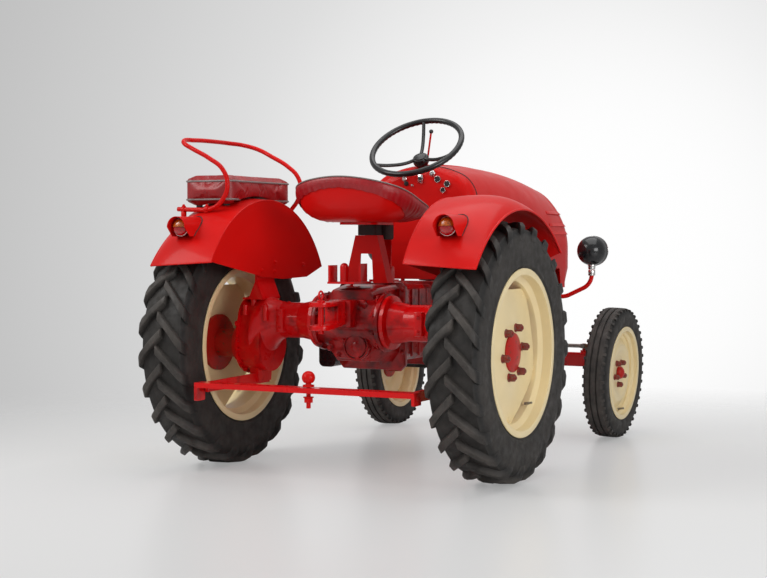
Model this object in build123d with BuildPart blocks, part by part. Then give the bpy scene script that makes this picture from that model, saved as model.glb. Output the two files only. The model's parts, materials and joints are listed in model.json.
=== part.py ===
"""A compact one-cylinder farm tractor with fender seat, tail lamps and a rear cross drawbar.

Millimetres. +X forward, +Y to the driver's left, +Z up, origin on the ground under the middle.
"""
import os
from math import acos, asin, cos, degrees, pi, radians, sin, sqrt

from build123d import *

os.makedirs("parts", exist_ok=True)

# Driving sizes of the whole machine
WHEELBASE = 1500.0
REAR_AXLE_X = -750.0
FRONT_AXLE_X = REAR_AXLE_X + WHEELBASE
REAR_TRACK = 1250.0
FRONT_TRACK = 1180.0
RUNNING_GAP = 0.3
SWING_GAP = 5.0
SHEET = 3.0
LEFT, RIGHT = 1, -1
SIDES = ((LEFT, "left"), (RIGHT, "right"))


def save(block, node):
    """Label a finished sub-part and write it as its own file."""
    block.part.label = node
    export_step(block.part, f"parts/{node}.step")


def side_plane(y):
    """A plane across the machine at y, drawn in X and Z, whose normal points to the right."""
    return Plane(origin=(0, y, 0), x_dir=(1, 0, 0), z_dir=(0, -1, 0))


def cross_plane(x):
    """A plane across the machine at x, drawn in Y and Z, whose normal points forward."""
    return Plane(origin=(x, 0, 0), x_dir=(0, 1, 0), z_dir=(1, 0, 0))


def rod(start, end, radius):
    """A round bar between two points, added to the part that is being built."""
    run = Vector(*end) - Vector(*start)
    with Locations(Plane(origin=start, z_dir=run)):
        return Cylinder(radius, run.length, align=(Align.CENTER, Align.CENTER, Align.MIN))


def bent_rod(points, bends, radius):
    """A round bar along straight runs joined by arcs, added to the part that is being built."""
    with BuildLine() as path:
        FilletPolyline(*points, radius=bends)
    with BuildSketch(Plane(origin=path.line @ 0, z_dir=path.line % 0)) as section:
        Circle(radius)
    return sweep(section.sketch, path=path.line)


# Wheels: each is drawn as offsets outward from its centre plane against radius
REAR_TYRE_RADIUS = 505.0
REAR_TYRE_HALF = 106.0
REAR_CARCASS_RADIUS = 474.0
REAR_CARCASS_HALF = 92.0
REAR_WALL_RADIUS = 392.0
LUGS = 23
LUG_FOOT_FLARE = 5.0
# One lug from its nose to its shoulder: offset across the tread, how far it trails the nose along the
# tread, how far its top lies under the tyre's radius, its width, and the radius where its foot ends
LUG_STATIONS = ((-10.0, 0.0, 0.0, 32.0, 466.0),
                (56.0, 66.0, 2.0, 34.0, 466.0),
                (104.0, 122.0, 18.0, 44.0, 430.0))
REAR_BEAD_RADIUS = 305.0
REAR_FLANGE_RADIUS = 324.0
REAR_RIM_HALF = 95.0
REAR_WELL_RADIUS = 282.0
REAR_RIM_WALL = 5.0
REAR_DISC_OUT = 50.0
REAR_DISC_EDGE_OUT = 34.0
REAR_DISC_WALL = 8.0
REAR_DISC_WINDOWS = 5
REAR_DISC_WINDOW_DEPTH = 26.0
REAR_STUD_CIRCLE = 100.0
REAR_STUDS = 6
REAR_STUD_TURN = 10.0
REAR_CAP_RADIUS = 76.0
REAR_HUB_RADIUS = 60.0

FRONT_TYRE_RADIUS = 307.0
FRONT_TYRE_HALF = 56.0
FRONT_TREAD_HALF = 42.0
FRONT_SHOULDER_DROP = 9.0
FRONT_WALL_RADIUS = 262.0
FRONT_BEAD_RADIUS = 203.0
FRONT_FLANGE_RADIUS = 219.0
FRONT_RIM_HALF = 50.0
FRONT_WELL_RADIUS = 190.0
FRONT_RIM_WALL = 4.0
FRONT_STUD_CIRCLE = 56.0
FRONT_STUDS = 5
FRONT_CAP_RADIUS = 30.0
FRONT_HUB_RADIUS = 42.0
CAMBER = 2.0

REAR_WHEEL_Y = REAR_TRACK / 2
FRONT_WHEEL_Y = FRONT_TRACK / 2
REAR_WHEEL_Z = REAR_TYRE_RADIUS
FRONT_WHEEL_Z = FRONT_TYRE_RADIUS * cos(radians(CAMBER)) + FRONT_TREAD_HALF * sin(radians(CAMBER))


class WheelFrame:
    """Where one wheel stands: its centre, its outward axle direction and its drawing planes."""

    def __init__(self, x, y, z, side, camber):
        tilt = radians(camber)
        self.centre = Vector(x, side * y, z)
        self.out = Vector(0, side * cos(tilt), -sin(tilt))
        self.axis = Axis(self.centre, self.out)
        self.profile = Plane(origin=self.centre, x_dir=self.out, z_dir=(side, 0, 0))

    def face(self, out):
        """A plane square to the axle, so far outward of the wheel's centre."""
        return Plane(origin=self.centre + self.out * out, x_dir=(1, 0, 0), z_dir=self.out)


def spun(wheel, points):
    """Turn a closed outline of (outward, radius) points about a wheel's axle."""
    with BuildSketch(wheel.profile) as outline:
        with BuildLine():
            Polyline(*points, close=True)
        make_face()
    return revolve(outline.sketch, axis=wheel.axis)


def dome(edge_out, radius, tip_out):
    """The round top of a cap, from its edge to its tip on the axle."""
    rise = tip_out - edge_out
    ball = (radius ** 2 + rise ** 2) / (2 * rise)
    half = asin(radius / ball) / 2
    middle = (tip_out - ball + ball * cos(half), ball * sin(half))
    return ThreePointArc((edge_out, radius), middle, (tip_out, 0))


def lug(wheel, side, half):
    """One tread bar of a rear tyre, from its nose near the middle to the shoulder of one half."""
    with BuildPart(mode=Mode.PRIVATE) as bar:
        for across, trail, drop, width, foot in LUG_STATIONS:
            turn = pi / 2 - side * trail / REAR_TYRE_RADIUS
            ray = Vector(cos(turn), sin(turn))
            along = Vector(-sin(turn), cos(turn))
            top = sqrt((REAR_TYRE_RADIUS - drop) ** 2 - (width / 2) ** 2)
            flared = width / 2 + LUG_FOOT_FLARE
            corners = [ray * radius + along * offset for radius, offset in
                       ((top, -width / 2), (top, width / 2), (foot, flared), (foot, -flared))]
            with BuildSketch(wheel.face(half * across)):
                with BuildLine():
                    Polyline(*[(corner.X, corner.Y) for corner in corners], close=True)
                make_face()
        loft(ruled=True)
    return bar.part


def tyre_outline(half_line):
    """A closed tyre section from the points of its outer half."""
    return half_line + tuple((-out, radius) for out, radius in reversed(half_line))


def rear_wheel(side, name):
    wheel = WheelFrame(REAR_AXLE_X, REAR_WHEEL_Y, REAR_WHEEL_Z, side, 0)
    bead_half = REAR_RIM_HALF - RUNNING_GAP
    lug_turn = 360 / LUGS
    with BuildPart() as tyre:
        spun(wheel, tyre_outline(((bead_half, REAR_BEAD_RADIUS + RUNNING_GAP),
                                  (bead_half, REAR_FLANGE_RADIUS),
                                  (REAR_TYRE_HALF, REAR_WALL_RADIUS),
                                  (REAR_CARCASS_HALF, REAR_CARCASS_RADIUS))))
        for half, start in ((1, 0), (-1, lug_turn / 2)):
            bar = lug(wheel, side, half)
            add([bar.rotate(wheel.axis, start + number * lug_turn) for number in range(LUGS)])
    save(tyre, f"rear_tyre_{name}")

    wall = REAR_RIM_WALL
    half = REAR_RIM_HALF
    well_half = 45.0
    outer_line = ((half, REAR_FLANGE_RADIUS), (half, REAR_BEAD_RADIUS), (well_half + 12, REAR_BEAD_RADIUS),
                  (well_half, REAR_WELL_RADIUS), (-well_half, REAR_WELL_RADIUS),
                  (-well_half - 12, REAR_BEAD_RADIUS), (-half, REAR_BEAD_RADIUS),
                  (-half, REAR_FLANGE_RADIUS))
    inner_line = ((-half - wall, REAR_FLANGE_RADIUS), (-half - wall, REAR_BEAD_RADIUS - wall),
                  (-well_half - 16, REAR_BEAD_RADIUS - wall), (-well_half - 4, REAR_WELL_RADIUS - wall),
                  (well_half + 4, REAR_WELL_RADIUS - wall), (well_half + 16, REAR_BEAD_RADIUS - wall),
                  (half + wall, REAR_BEAD_RADIUS - wall), (half + wall, REAR_FLANGE_RADIUS))
    disc_edge = REAR_WELL_RADIUS - wall
    window_floor = disc_edge - REAR_DISC_WINDOW_DEPTH
    thick = REAR_DISC_WALL
    with BuildPart() as rim:
        spun(wheel, outer_line + inner_line)
        spun(wheel, ((REAR_DISC_OUT - thick, 0), (REAR_DISC_OUT - thick, 130),
                     (REAR_DISC_EDGE_OUT - thick, disc_edge), (REAR_DISC_EDGE_OUT, disc_edge + 1),
                     (REAR_DISC_OUT, 130), (REAR_DISC_OUT, 0)))
        with BuildSketch(wheel.face(REAR_DISC_EDGE_OUT - 2 * thick)):
            Circle(disc_edge)
            RegularPolygon(window_floor, REAR_DISC_WINDOWS, major_radius=False, rotation=90,
                           mode=Mode.SUBTRACT)
        extrude(amount=4 * thick, mode=Mode.SUBTRACT)
    save(rim, f"rear_rim_{name}")

    hub_back = REAR_HUB_BACK_Y - REAR_WHEEL_Y
    seat = REAR_DISC_OUT - thick - RUNNING_GAP
    with BuildPart() as hub:
        spun(wheel, ((hub_back, 0), (hub_back, REAR_HUB_RADIUS), (seat - 22, REAR_HUB_RADIUS),
                     (seat - 14, REAR_STUD_CIRCLE + 18), (seat, REAR_STUD_CIRCLE + 18), (seat, 0)))
        with BuildSketch(wheel.profile):
            with BuildLine():
                foot = Line((REAR_DISC_OUT + RUNNING_GAP, 0), (REAR_DISC_OUT + RUNNING_GAP, REAR_CAP_RADIUS))
                Line(foot @ 1, (REAR_DISC_OUT + 6, REAR_CAP_RADIUS))
                top = dome(REAR_DISC_OUT + 6, REAR_CAP_RADIUS, REAR_DISC_OUT + 21)
                Line(top @ 1, foot @ 0)
            make_face()
        revolve(axis=wheel.axis)
        with BuildSketch(wheel.face(REAR_DISC_OUT + RUNNING_GAP)):
            with PolarLocations(REAR_STUD_CIRCLE, REAR_STUDS, start_angle=REAR_STUD_TURN):
                RegularPolygon(13, 6)
        extrude(amount=22)
    save(hub, f"rear_hub_{name}")


def front_wheel(side, name):
    wheel = WheelFrame(FRONT_AXLE_X, FRONT_WHEEL_Y, FRONT_WHEEL_Z, side, CAMBER)
    bead_half = FRONT_RIM_HALF - RUNNING_GAP
    with BuildPart() as tyre:
        spun(wheel, tyre_outline(((bead_half, FRONT_BEAD_RADIUS + RUNNING_GAP),
                                  (bead_half, FRONT_FLANGE_RADIUS),
                                  (FRONT_TYRE_HALF, FRONT_WALL_RADIUS),
                                  (FRONT_TREAD_HALF + 8, FRONT_TYRE_RADIUS - FRONT_SHOULDER_DROP),
                                  (FRONT_TREAD_HALF, FRONT_TYRE_RADIUS))))
    save(tyre, f"front_tyre_{name}")

    wall = FRONT_RIM_WALL
    half = FRONT_RIM_HALF
    well_half = 24.0
    outer_line = ((half, FRONT_FLANGE_RADIUS), (half, FRONT_BEAD_RADIUS), (well_half + 8, FRONT_BEAD_RADIUS),
                  (well_half, FRONT_WELL_RADIUS), (-well_half, FRONT_WELL_RADIUS),
                  (-well_half - 8, FRONT_BEAD_RADIUS), (-half, FRONT_BEAD_RADIUS),
                  (-half, FRONT_FLANGE_RADIUS))
    inner_line = ((-half - wall, FRONT_FLANGE_RADIUS), (-half - wall, FRONT_BEAD_RADIUS - wall),
                  (-well_half - 11, FRONT_BEAD_RADIUS - wall), (-well_half - 3, FRONT_WELL_RADIUS - wall),
                  (well_half + 3, FRONT_WELL_RADIUS - wall), (well_half + 11, FRONT_BEAD_RADIUS - wall),
                  (half + wall, FRONT_BEAD_RADIUS - wall), (half + wall, FRONT_FLANGE_RADIUS))
    # The pressed disc: edge, outer valley, raised ring, then the bolting face, as (outward, radius)
    disc_face = ((20, FRONT_WELL_RADIUS - wall + 1), (14, 168), (34, 132), (34, 110), (22, 84), (22, 0))
    disc_back = tuple((out - 5, radius) for out, radius in reversed(disc_face))
    slot_radius = 176.0
    with BuildPart() as rim:
        spun(wheel, outer_line + inner_line)
        spun(wheel, disc_face + disc_back)
        with BuildSketch(wheel.face(0)):
            with PolarLocations(slot_radius, FRONT_STUDS, start_angle=90):
                SlotOverall(70, 14, rotation=90)
        extrude(amount=26, mode=Mode.SUBTRACT)
    save(rim, f"front_rim_{name}")

    seat = 17 - RUNNING_GAP
    with BuildPart() as hub:
        spun(wheel, ((FRONT_HUB_BACK, 0), (FRONT_HUB_BACK, FRONT_HUB_RADIUS), (seat - 14, FRONT_HUB_RADIUS),
                     (seat - 10, FRONT_STUD_CIRCLE + 14), (seat, FRONT_STUD_CIRCLE + 14), (seat, 0)))
        with BuildSketch(wheel.profile):
            with BuildLine():
                foot = Line((22 + RUNNING_GAP, 0), (22 + RUNNING_GAP, FRONT_CAP_RADIUS))
                Line(foot @ 1, (36, FRONT_CAP_RADIUS - 1))
                top = dome(36, FRONT_CAP_RADIUS - 1, 52)
                Line(top @ 1, foot @ 0)
            make_face()
        revolve(axis=wheel.axis)
        with BuildSketch(wheel.face(22 + RUNNING_GAP)):
            with PolarLocations(FRONT_STUD_CIRCLE, FRONT_STUDS, start_angle=54):
                RegularPolygon(10, 6)
        extrude(amount=18)
    save(hub, f"front_hub_{name}")


# Rear axle: trumpets out of the gearbox, then the drop gear cases down to the wheel hubs
TRUMPET_Z = 607.0
TRUMPET_RADIUS = 73.0
GEARBOX_HALF = 150.0
DROP_CASE_IN_Y = 395.0
DROP_CASE_OUT_Y = 505.0
HUB_BOSS_OUT_Y = 545.0
REAR_HUB_BACK_Y = HUB_BOSS_OUT_Y + 0.6
DROP_CASE_TOP_RADIUS = 84.0
DROP_CASE_LOW_RADIUS = 112.0
DROP_FLANGE_GROW = 12.0
DROP_FLANGE_THICK = 8.0
DROP_RIB_TURNS = (20.0, 55.0, 125.0, 160.0)


def axle_tubes():
    with BuildPart() as tubes:
        for side, name in SIDES:
            axis = Axis((REAR_AXLE_X, 0, TRUMPET_Z), (0, side, 0))
            points = ((GEARBOX_HALF, 0), (GEARBOX_HALF, 108), (GEARBOX_HALF + 18, 108),
                      (GEARBOX_HALF + 26, 86), (GEARBOX_HALF + 90, TRUMPET_RADIUS),
                      (DROP_CASE_IN_Y - 48, TRUMPET_RADIUS), (DROP_CASE_IN_Y - 12, TRUMPET_RADIUS + 10),
                      (DROP_CASE_IN_Y, TRUMPET_RADIUS + 10), (DROP_CASE_IN_Y, 0))
            with BuildSketch(Plane(origin=(REAR_AXLE_X, 0, TRUMPET_Z), x_dir=(0, side, 0),
                                   z_dir=(side, 0, 0))):
                with BuildLine():
                    Polyline(*points, close=True)
                make_face()
            revolve(axis=axis)
    save(tubes, "axle_tubes")


def drop_case_outline(grow):
    """The pear-shaped outline round the trumpet's end and the wheel's axle."""
    with Locations((REAR_AXLE_X, TRUMPET_Z)):
        Circle(DROP_CASE_TOP_RADIUS + grow)
    with Locations((REAR_AXLE_X, REAR_WHEEL_Z)):
        Circle(DROP_CASE_LOW_RADIUS + grow)
    make_hull()


def drop_cases():
    flange_y = DROP_CASE_OUT_Y - DROP_FLANGE_THICK
    with BuildPart() as cases:
        for side, name in SIDES:
            with BuildSketch(side_plane(side * DROP_CASE_IN_Y)):
                drop_case_outline(0)
            extrude(amount=-side * (DROP_CASE_OUT_Y - DROP_CASE_IN_Y))
            with BuildSketch(side_plane(side * flange_y)):
                drop_case_outline(DROP_FLANGE_GROW)
            extrude(amount=-side * DROP_FLANGE_THICK)
            with BuildSketch(side_plane(side * DROP_CASE_OUT_Y)):
                with Locations((REAR_AXLE_X, REAR_WHEEL_Z)):
                    Circle(82)
            extrude(amount=-side * (HUB_BOSS_OUT_Y - DROP_CASE_OUT_Y))
            with BuildSketch(side_plane(side * DROP_CASE_OUT_Y)):
                with Locations((REAR_AXLE_X, REAR_WHEEL_Z)):
                    for turn in DROP_RIB_TURNS:
                        with PolarLocations(88, 1, start_angle=-turn):
                            Rectangle(30, 10)
            extrude(amount=-side * 12)
    save(cases, "drop_cases")


# Gearbox and engine block line
GEARBOX_REAR_X = REAR_AXLE_X - 130
GEARBOX_FRONT_X = REAR_AXLE_X + 480
GEARBOX_LOW_Z = 435.0
GEARBOX_TOP_Z = 762.0
ENGINE_REAR_X = GEARBOX_FRONT_X
ENGINE_FRONT_X = 330.0
ENGINE_HALF = 150.0
ENGINE_LOW_Z = 385.0
ENGINE_TOP_Z = 700.0
CYLINDER_X = 110.0
CYLINDER_FIN_RADIUS = 118.0
CYLINDER_CORE_RADIUS = 88.0
CYLINDER_TOP_Z = 960.0
HEAD_TOP_Z = 1090.0
FIN_PITCH = 20.0
FIN_THICK = 7.0
FINS = 12
DRIVE_COVER_RADIUS = 48.0
DRIVE_COVER_Z = 506.0


def gearbox():
    with BuildPart() as box:
        with BuildSketch(side_plane(0)):
            with BuildLine():
                Polyline((GEARBOX_REAR_X, 470), (GEARBOX_REAR_X + 40, GEARBOX_LOW_Z),
                         (GEARBOX_FRONT_X, GEARBOX_LOW_Z), (GEARBOX_FRONT_X, 745),
                         (GEARBOX_FRONT_X - 90, GEARBOX_TOP_Z), (GEARBOX_REAR_X + 30, GEARBOX_TOP_Z),
                         (GEARBOX_REAR_X, 730), close=True)
            make_face()
        extrude(amount=GEARBOX_HALF, both=True)
        fillet(box.edges().filter_by(Axis.X), radius=28)
        with BuildSketch(cross_plane(GEARBOX_REAR_X)):
            with Locations((0, 600)):
                RectangleRounded(210, 250, 40)
        extrude(amount=-22)
        with BuildSketch(cross_plane(GEARBOX_REAR_X - 22)):
            with Locations((0, DRIVE_COVER_Z)):
                Circle(DRIVE_COVER_RADIUS)
        extrude(amount=-24)
        with BuildSketch(cross_plane(GEARBOX_FRONT_X)):
            with Locations((0, 570)):
                RectangleRounded(350, 330, 60)
        extrude(amount=-26)
    save(box, "gearbox")


def engine():
    with BuildPart() as block:
        with BuildSketch(cross_plane(ENGINE_REAR_X + RUNNING_GAP)):
            with Locations((0, 570)):
                RectangleRounded(350, 330, 60)
        extrude(amount=30)
        with BuildSketch(cross_plane(ENGINE_REAR_X + 30)):
            with Locations((0, (ENGINE_LOW_Z + ENGINE_TOP_Z) / 2)):
                RectangleRounded(2 * ENGINE_HALF, ENGINE_TOP_Z - ENGINE_LOW_Z, 40)
        extrude(amount=ENGINE_FRONT_X - ENGINE_REAR_X - 30)
        with BuildSketch(Plane.XY.offset(ENGINE_TOP_Z)):
            with Locations((CYLINDER_X, 0)):
                Circle(CYLINDER_CORE_RADIUS)
        extrude(amount=CYLINDER_TOP_Z - ENGINE_TOP_Z)
        for fin in range(FINS):
            with BuildSketch(Plane.XY.offset(ENGINE_TOP_Z + 14 + fin * FIN_PITCH)):
                with Locations((CYLINDER_X, 0)):
                    Circle(CYLINDER_FIN_RADIUS)
            extrude(amount=FIN_THICK)
        with BuildSketch(Plane.XY.offset(CYLINDER_TOP_Z)):
            with Locations((CYLINDER_X, 0)):
                RectangleRounded(230, 230, 40)
        extrude(amount=HEAD_TOP_Z - CYLINDER_TOP_Z)
    save(block, "engine")


# Cooling fan case ahead of the cylinder, with its duct
FAN_X = 250.0
FAN_LENGTH = 130.0
FAN_Z = 870.0
FAN_RADIUS = 150.0


def fan_case():
    with BuildPart() as case:
        with BuildSketch(cross_plane(FAN_X)):
            with Locations((0, FAN_Z)):
                Circle(FAN_RADIUS)
        extrude(amount=FAN_LENGTH)
        with BuildSketch(cross_plane(FAN_X + FAN_LENGTH)):
            with Locations((0, FAN_Z)):
                Circle(FAN_RADIUS - 30)
                Circle(46, mode=Mode.SUBTRACT)
        extrude(amount=-60, mode=Mode.SUBTRACT)
        with BuildSketch(cross_plane(FAN_X)):
            with Locations((0, 740)):
                Rectangle(120, 80)
        extrude(amount=FAN_LENGTH - 40)
    save(case, "fan_case")


# Front end: the casting ahead of the engine and the beam that hangs in it
FRONT_CASTING_END_X = FRONT_AXLE_X + 340
FRONT_CASTING_HALF = 95.0
CASTING_LOW_Z = 470.0
BEAM_Z = 364.0
BEAM_HIGH = 66.0
BEAM_WIDE = 44.0
BEAM_PIVOT_HALF = 58.0
PIVOT_EAR = 13.0
KINGPIN_Y = 478.0
KINGPIN_RADIUS = 16.0
BEAM_EYE_RADIUS = 30.0
BEAM_EYE_HALF = 38.0
FRONT_HUB_BACK = -52.0
HOOD_HINGE_X = 1180.0
HOOD_HINGE_Z = 700.0
HOOD_HINGE_PIN = 8.0
HOOD_HINGE_Y = 90.0


def front_casting():
    with BuildPart() as casting:
        with BuildSketch(side_plane(0)):
            with BuildLine():
                Polyline((ENGINE_FRONT_X + RUNNING_GAP, CASTING_LOW_Z), (FRONT_AXLE_X - 90, CASTING_LOW_Z),
                         (FRONT_AXLE_X - 50, 410), (FRONT_AXLE_X + 60, 410),
                         (FRONT_AXLE_X + 120, 470), (FRONT_CASTING_END_X, 520),
                         (FRONT_CASTING_END_X, 690), (ENGINE_FRONT_X + RUNNING_GAP, 690), close=True)
            make_face()
        extrude(amount=FRONT_CASTING_HALF, both=True)
        with BuildSketch(side_plane(0)):
            with BuildLine():
                Polyline((ENGINE_FRONT_X + 60, 500), (FRONT_AXLE_X - 60, 530),
                         (FRONT_CASTING_END_X - 60, 560), (FRONT_CASTING_END_X - 60, 700),
                         (ENGINE_FRONT_X + 60, 700), close=True)
            make_face()
        extrude(amount=FRONT_CASTING_HALF - 20, both=True, mode=Mode.SUBTRACT)
        for way in (1, -1):
            with BuildSketch(cross_plane(FRONT_AXLE_X + way * (BEAM_PIVOT_HALF + RUNNING_GAP))):
                with Locations((0, BEAM_Z)):
                    Circle(36)
                with Locations((0, BEAM_Z + 60)):
                    Rectangle(120, 100)
                make_hull()
            extrude(amount=way * PIVOT_EAR)
        for side, name in SIDES:
            with BuildSketch(side_plane(side * (HOOD_HINGE_Y - 10))):
                with BuildLine():
                    Polyline((FRONT_CASTING_END_X, 600), (HOOD_HINGE_X, HOOD_HINGE_Z - 16),
                             (HOOD_HINGE_X + 14, HOOD_HINGE_Z), (HOOD_HINGE_X, HOOD_HINGE_Z + 14),
                             (FRONT_CASTING_END_X, 638), close=True)
                make_face()
            extrude(amount=4, both=True)
            with BuildSketch(side_plane(side * (HOOD_HINGE_Y - 14))):
                with Locations((HOOD_HINGE_X, HOOD_HINGE_Z)):
                    Circle(HOOD_HINGE_PIN)
            extrude(amount=-side * 28)
    save(casting, "front_casting")


def front_beam():
    with BuildPart() as beam:
        with BuildSketch(Plane(origin=(FRONT_AXLE_X, 0, BEAM_Z), x_dir=(1, 0, 0), z_dir=(0, 1, 0))):
            RectangleRounded(BEAM_WIDE, BEAM_HIGH, 8)
        extrude(amount=KINGPIN_Y, both=True)
        with BuildSketch(cross_plane(FRONT_AXLE_X)):
            with Locations((0, BEAM_Z)):
                Circle(44)
        extrude(amount=BEAM_PIVOT_HALF, both=True)
        for side, name in SIDES:
            with BuildSketch(Plane.XY.offset(BEAM_Z - BEAM_EYE_HALF)):
                with Locations((FRONT_AXLE_X, side * KINGPIN_Y)):
                    Circle(BEAM_EYE_RADIUS)
            extrude(amount=2 * BEAM_EYE_HALF)
            with BuildSketch(Plane.XY.offset(BEAM_Z - BEAM_EYE_HALF)):
                with Locations((FRONT_AXLE_X, side * KINGPIN_Y)):
                    Circle(KINGPIN_RADIUS + 0.05)
            extrude(amount=2 * BEAM_EYE_HALF, mode=Mode.SUBTRACT)
    save(beam, "front_beam")


# Steering: knuckles, tie rod, drag link, drop arm, column and wheel
ARM_LENGTH = 105.0
ARM_PIN_RADIUS = 8.0
TIE_ROD_Z = BEAM_Z + BEAM_EYE_HALF + 34
ARM_THICK = 14.0
DROP_PIVOT_X = 20.0
DROP_PIVOT_Z = 620.0
DROP_ARM_GAP = 6.0
LINK_BALL = 17.0
DRAG_LINK_Y = KINGPIN_Y - ARM_LENGTH
DRAG_ARM_Z = BEAM_Z + BEAM_EYE_HALF + 70
WHEEL_RIM_X = -189.0
WHEEL_RIM_Z = 1341.5
WHEEL_TILT = 38.25
WHEEL_RADIUS = 205.0
WHEEL_GRIP = 11.5
WHEEL_DISH = 56.0
COLUMN_RADIUS = 19.0
SPOKES = 3


def knuckle(side, name):
    """A stub axle on its kingpin, with the steering arm that points back."""
    pin_x, pin_y = FRONT_AXLE_X, side * KINGPIN_Y
    wheel = WheelFrame(FRONT_AXLE_X, FRONT_WHEEL_Y, FRONT_WHEEL_Z, side, CAMBER)
    jaw_low = BEAM_Z - BEAM_EYE_HALF - 1
    jaw_high = BEAM_Z + BEAM_EYE_HALF + 1
    web_y = pin_y + side * (BEAM_EYE_RADIUS + 13)
    jaws = ((jaw_low - 22, 22), (jaw_high, ARM_THICK))
    with BuildPart() as piece:
        for low, thick in jaws:
            with BuildSketch(Plane.XY.offset(low)):
                with Locations((pin_x, pin_y)):
                    Circle(25)
                with Locations((pin_x, web_y)):
                    Rectangle(50, 14)
                make_hull()
            extrude(amount=thick)
        with BuildSketch(Plane.XY.offset(jaw_low - 22)):
            with Locations((pin_x, web_y)):
                Rectangle(50, 14)
        extrude(amount=jaw_high - jaw_low + 22)
        with BuildSketch(Plane.XY.offset(jaw_low - 22)):
            with Locations((pin_x, pin_y)):
                Circle(KINGPIN_RADIUS)
        extrude(amount=jaw_high - jaw_low + 44)
        with BuildSketch(Plane.XY.offset(jaw_high)):
            with Locations((pin_x, pin_y)):
                Circle(24)
            with Locations((pin_x - ARM_LENGTH, pin_y)):
                Circle(17)
            make_hull()
        extrude(amount=ARM_THICK)
        with BuildSketch(Plane.XY.offset(jaw_high + ARM_THICK)):
            with Locations((pin_x - ARM_LENGTH, pin_y)):
                Circle(ARM_PIN_RADIUS)
        extrude(amount=TIE_ROD_Z + 12 - jaw_high - ARM_THICK)
        stub_out = side * web_y - FRONT_WHEEL_Y
        with BuildSketch(wheel.face(stub_out)):
            Circle(22)
        extrude(amount=FRONT_HUB_BACK - stub_out - 1)
        if side == LEFT:
            with BuildSketch(Plane.XY.offset(jaw_high + ARM_THICK)):
                with Locations((pin_x, pin_y)):
                    Circle(20)
            extrude(amount=DRAG_ARM_Z - jaw_high - ARM_THICK)
            with BuildSketch(Plane.XY.offset(DRAG_ARM_Z)):
                with Locations((pin_x, pin_y)):
                    Circle(20)
                with Locations((pin_x, DRAG_LINK_Y)):
                    Circle(15)
                make_hull()
            extrude(amount=ARM_THICK)
            with BuildSketch(Plane.XY.offset(DRAG_ARM_Z + ARM_THICK)):
                with Locations((pin_x, DRAG_LINK_Y)):
                    Circle(ARM_PIN_RADIUS)
            extrude(amount=26)
    save(piece, f"knuckle_{name}")


def tie_rod():
    arm_x = FRONT_AXLE_X - ARM_LENGTH
    with BuildPart() as bar:
        with BuildSketch(Plane(origin=(arm_x, 0, TIE_ROD_Z), x_dir=(1, 0, 0), z_dir=(0, 1, 0))):
            Circle(9)
        extrude(amount=KINGPIN_Y - 14, both=True)
        for side, name in SIDES:
            with BuildSketch(Plane.XY.offset(TIE_ROD_Z - 10)):
                with Locations((arm_x, side * KINGPIN_Y)):
                    Circle(17)
            extrude(amount=20)
            with BuildSketch(Plane.XY.offset(TIE_ROD_Z - 10)):
                with Locations((arm_x, side * KINGPIN_Y)):
                    Circle(ARM_PIN_RADIUS + 0.05)
            extrude(amount=20, mode=Mode.SUBTRACT)
    save(bar, "tie_rod")


DRAG_LINK_Z = DRAG_ARM_Z + ARM_THICK + 14
DROP_END_X = DROP_PIVOT_X
DROP_ARM_Y = DRAG_LINK_Y - LINK_BALL - DROP_ARM_GAP - ARM_THICK


def drag_link():
    with BuildPart() as link:
        with BuildSketch(cross_plane(DROP_END_X)):
            with Locations((DRAG_LINK_Y, DRAG_LINK_Z)):
                Circle(9)
        extrude(amount=FRONT_AXLE_X - DROP_END_X - 14)
        with BuildSketch(Plane.XY.offset(DRAG_LINK_Z - 11)):
            with Locations((FRONT_AXLE_X, DRAG_LINK_Y)):
                Circle(17)
        extrude(amount=22)
        with BuildSketch(Plane.XY.offset(DRAG_LINK_Z - 11)):
            with Locations((FRONT_AXLE_X, DRAG_LINK_Y)):
                Circle(ARM_PIN_RADIUS + 0.05)
        extrude(amount=22, mode=Mode.SUBTRACT)
        with Locations(Plane(origin=(DROP_END_X, DRAG_LINK_Y, DRAG_LINK_Z), z_dir=(1, 0, 0))):
            Sphere(LINK_BALL)
    save(link, "drag_link")


def drop_arm():
    """The arm on the steering box shaft; its foot stands beside the drag link's ball."""
    with BuildPart() as arm:
        with BuildSketch(side_plane(DROP_ARM_Y)):
            with Locations((DROP_PIVOT_X, DROP_PIVOT_Z)):
                Circle(26)
            with Locations((DROP_END_X, DRAG_LINK_Z)):
                Circle(17)
            make_hull()
        extrude(amount=-ARM_THICK)
    save(arm, "drop_arm")


def column_down():
    """Which way the steering column runs, from the wheel down and forward."""
    tilt = radians(WHEEL_TILT)
    return Vector(sin(tilt), 0, -cos(tilt))


def steering_column():
    down = column_down()
    rim_centre = Vector(WHEEL_RIM_X, 0, WHEEL_RIM_Z)
    hub_low = rim_centre + down * (WHEEL_DISH + 26)
    joint = hub_low + down * 100
    box = Vector(DROP_PIVOT_X, ENGINE_HALF + RUNNING_GAP + 40, DROP_PIVOT_Z + 60)
    with BuildPart() as column:
        rod(tuple(hub_low + down * 1), tuple(joint), COLUMN_RADIUS)
        with Locations(tuple(joint)):
            Sphere(26)
        rod(tuple(joint), tuple(box), 9)
        with BuildSketch(side_plane(ENGINE_HALF + RUNNING_GAP)):
            with Locations((DROP_PIVOT_X, DROP_PIVOT_Z)):
                RectangleRounded(110, 130, 22)
        extrude(amount=-85)
        with BuildSketch(side_plane(ENGINE_HALF + 80)):
            with Locations((DROP_PIVOT_X, DROP_PIVOT_Z)):
                Circle(22)
        extrude(amount=-(DROP_ARM_Y - ENGINE_HALF - 80 - RUNNING_GAP))
    save(column, "steering_column")


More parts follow.
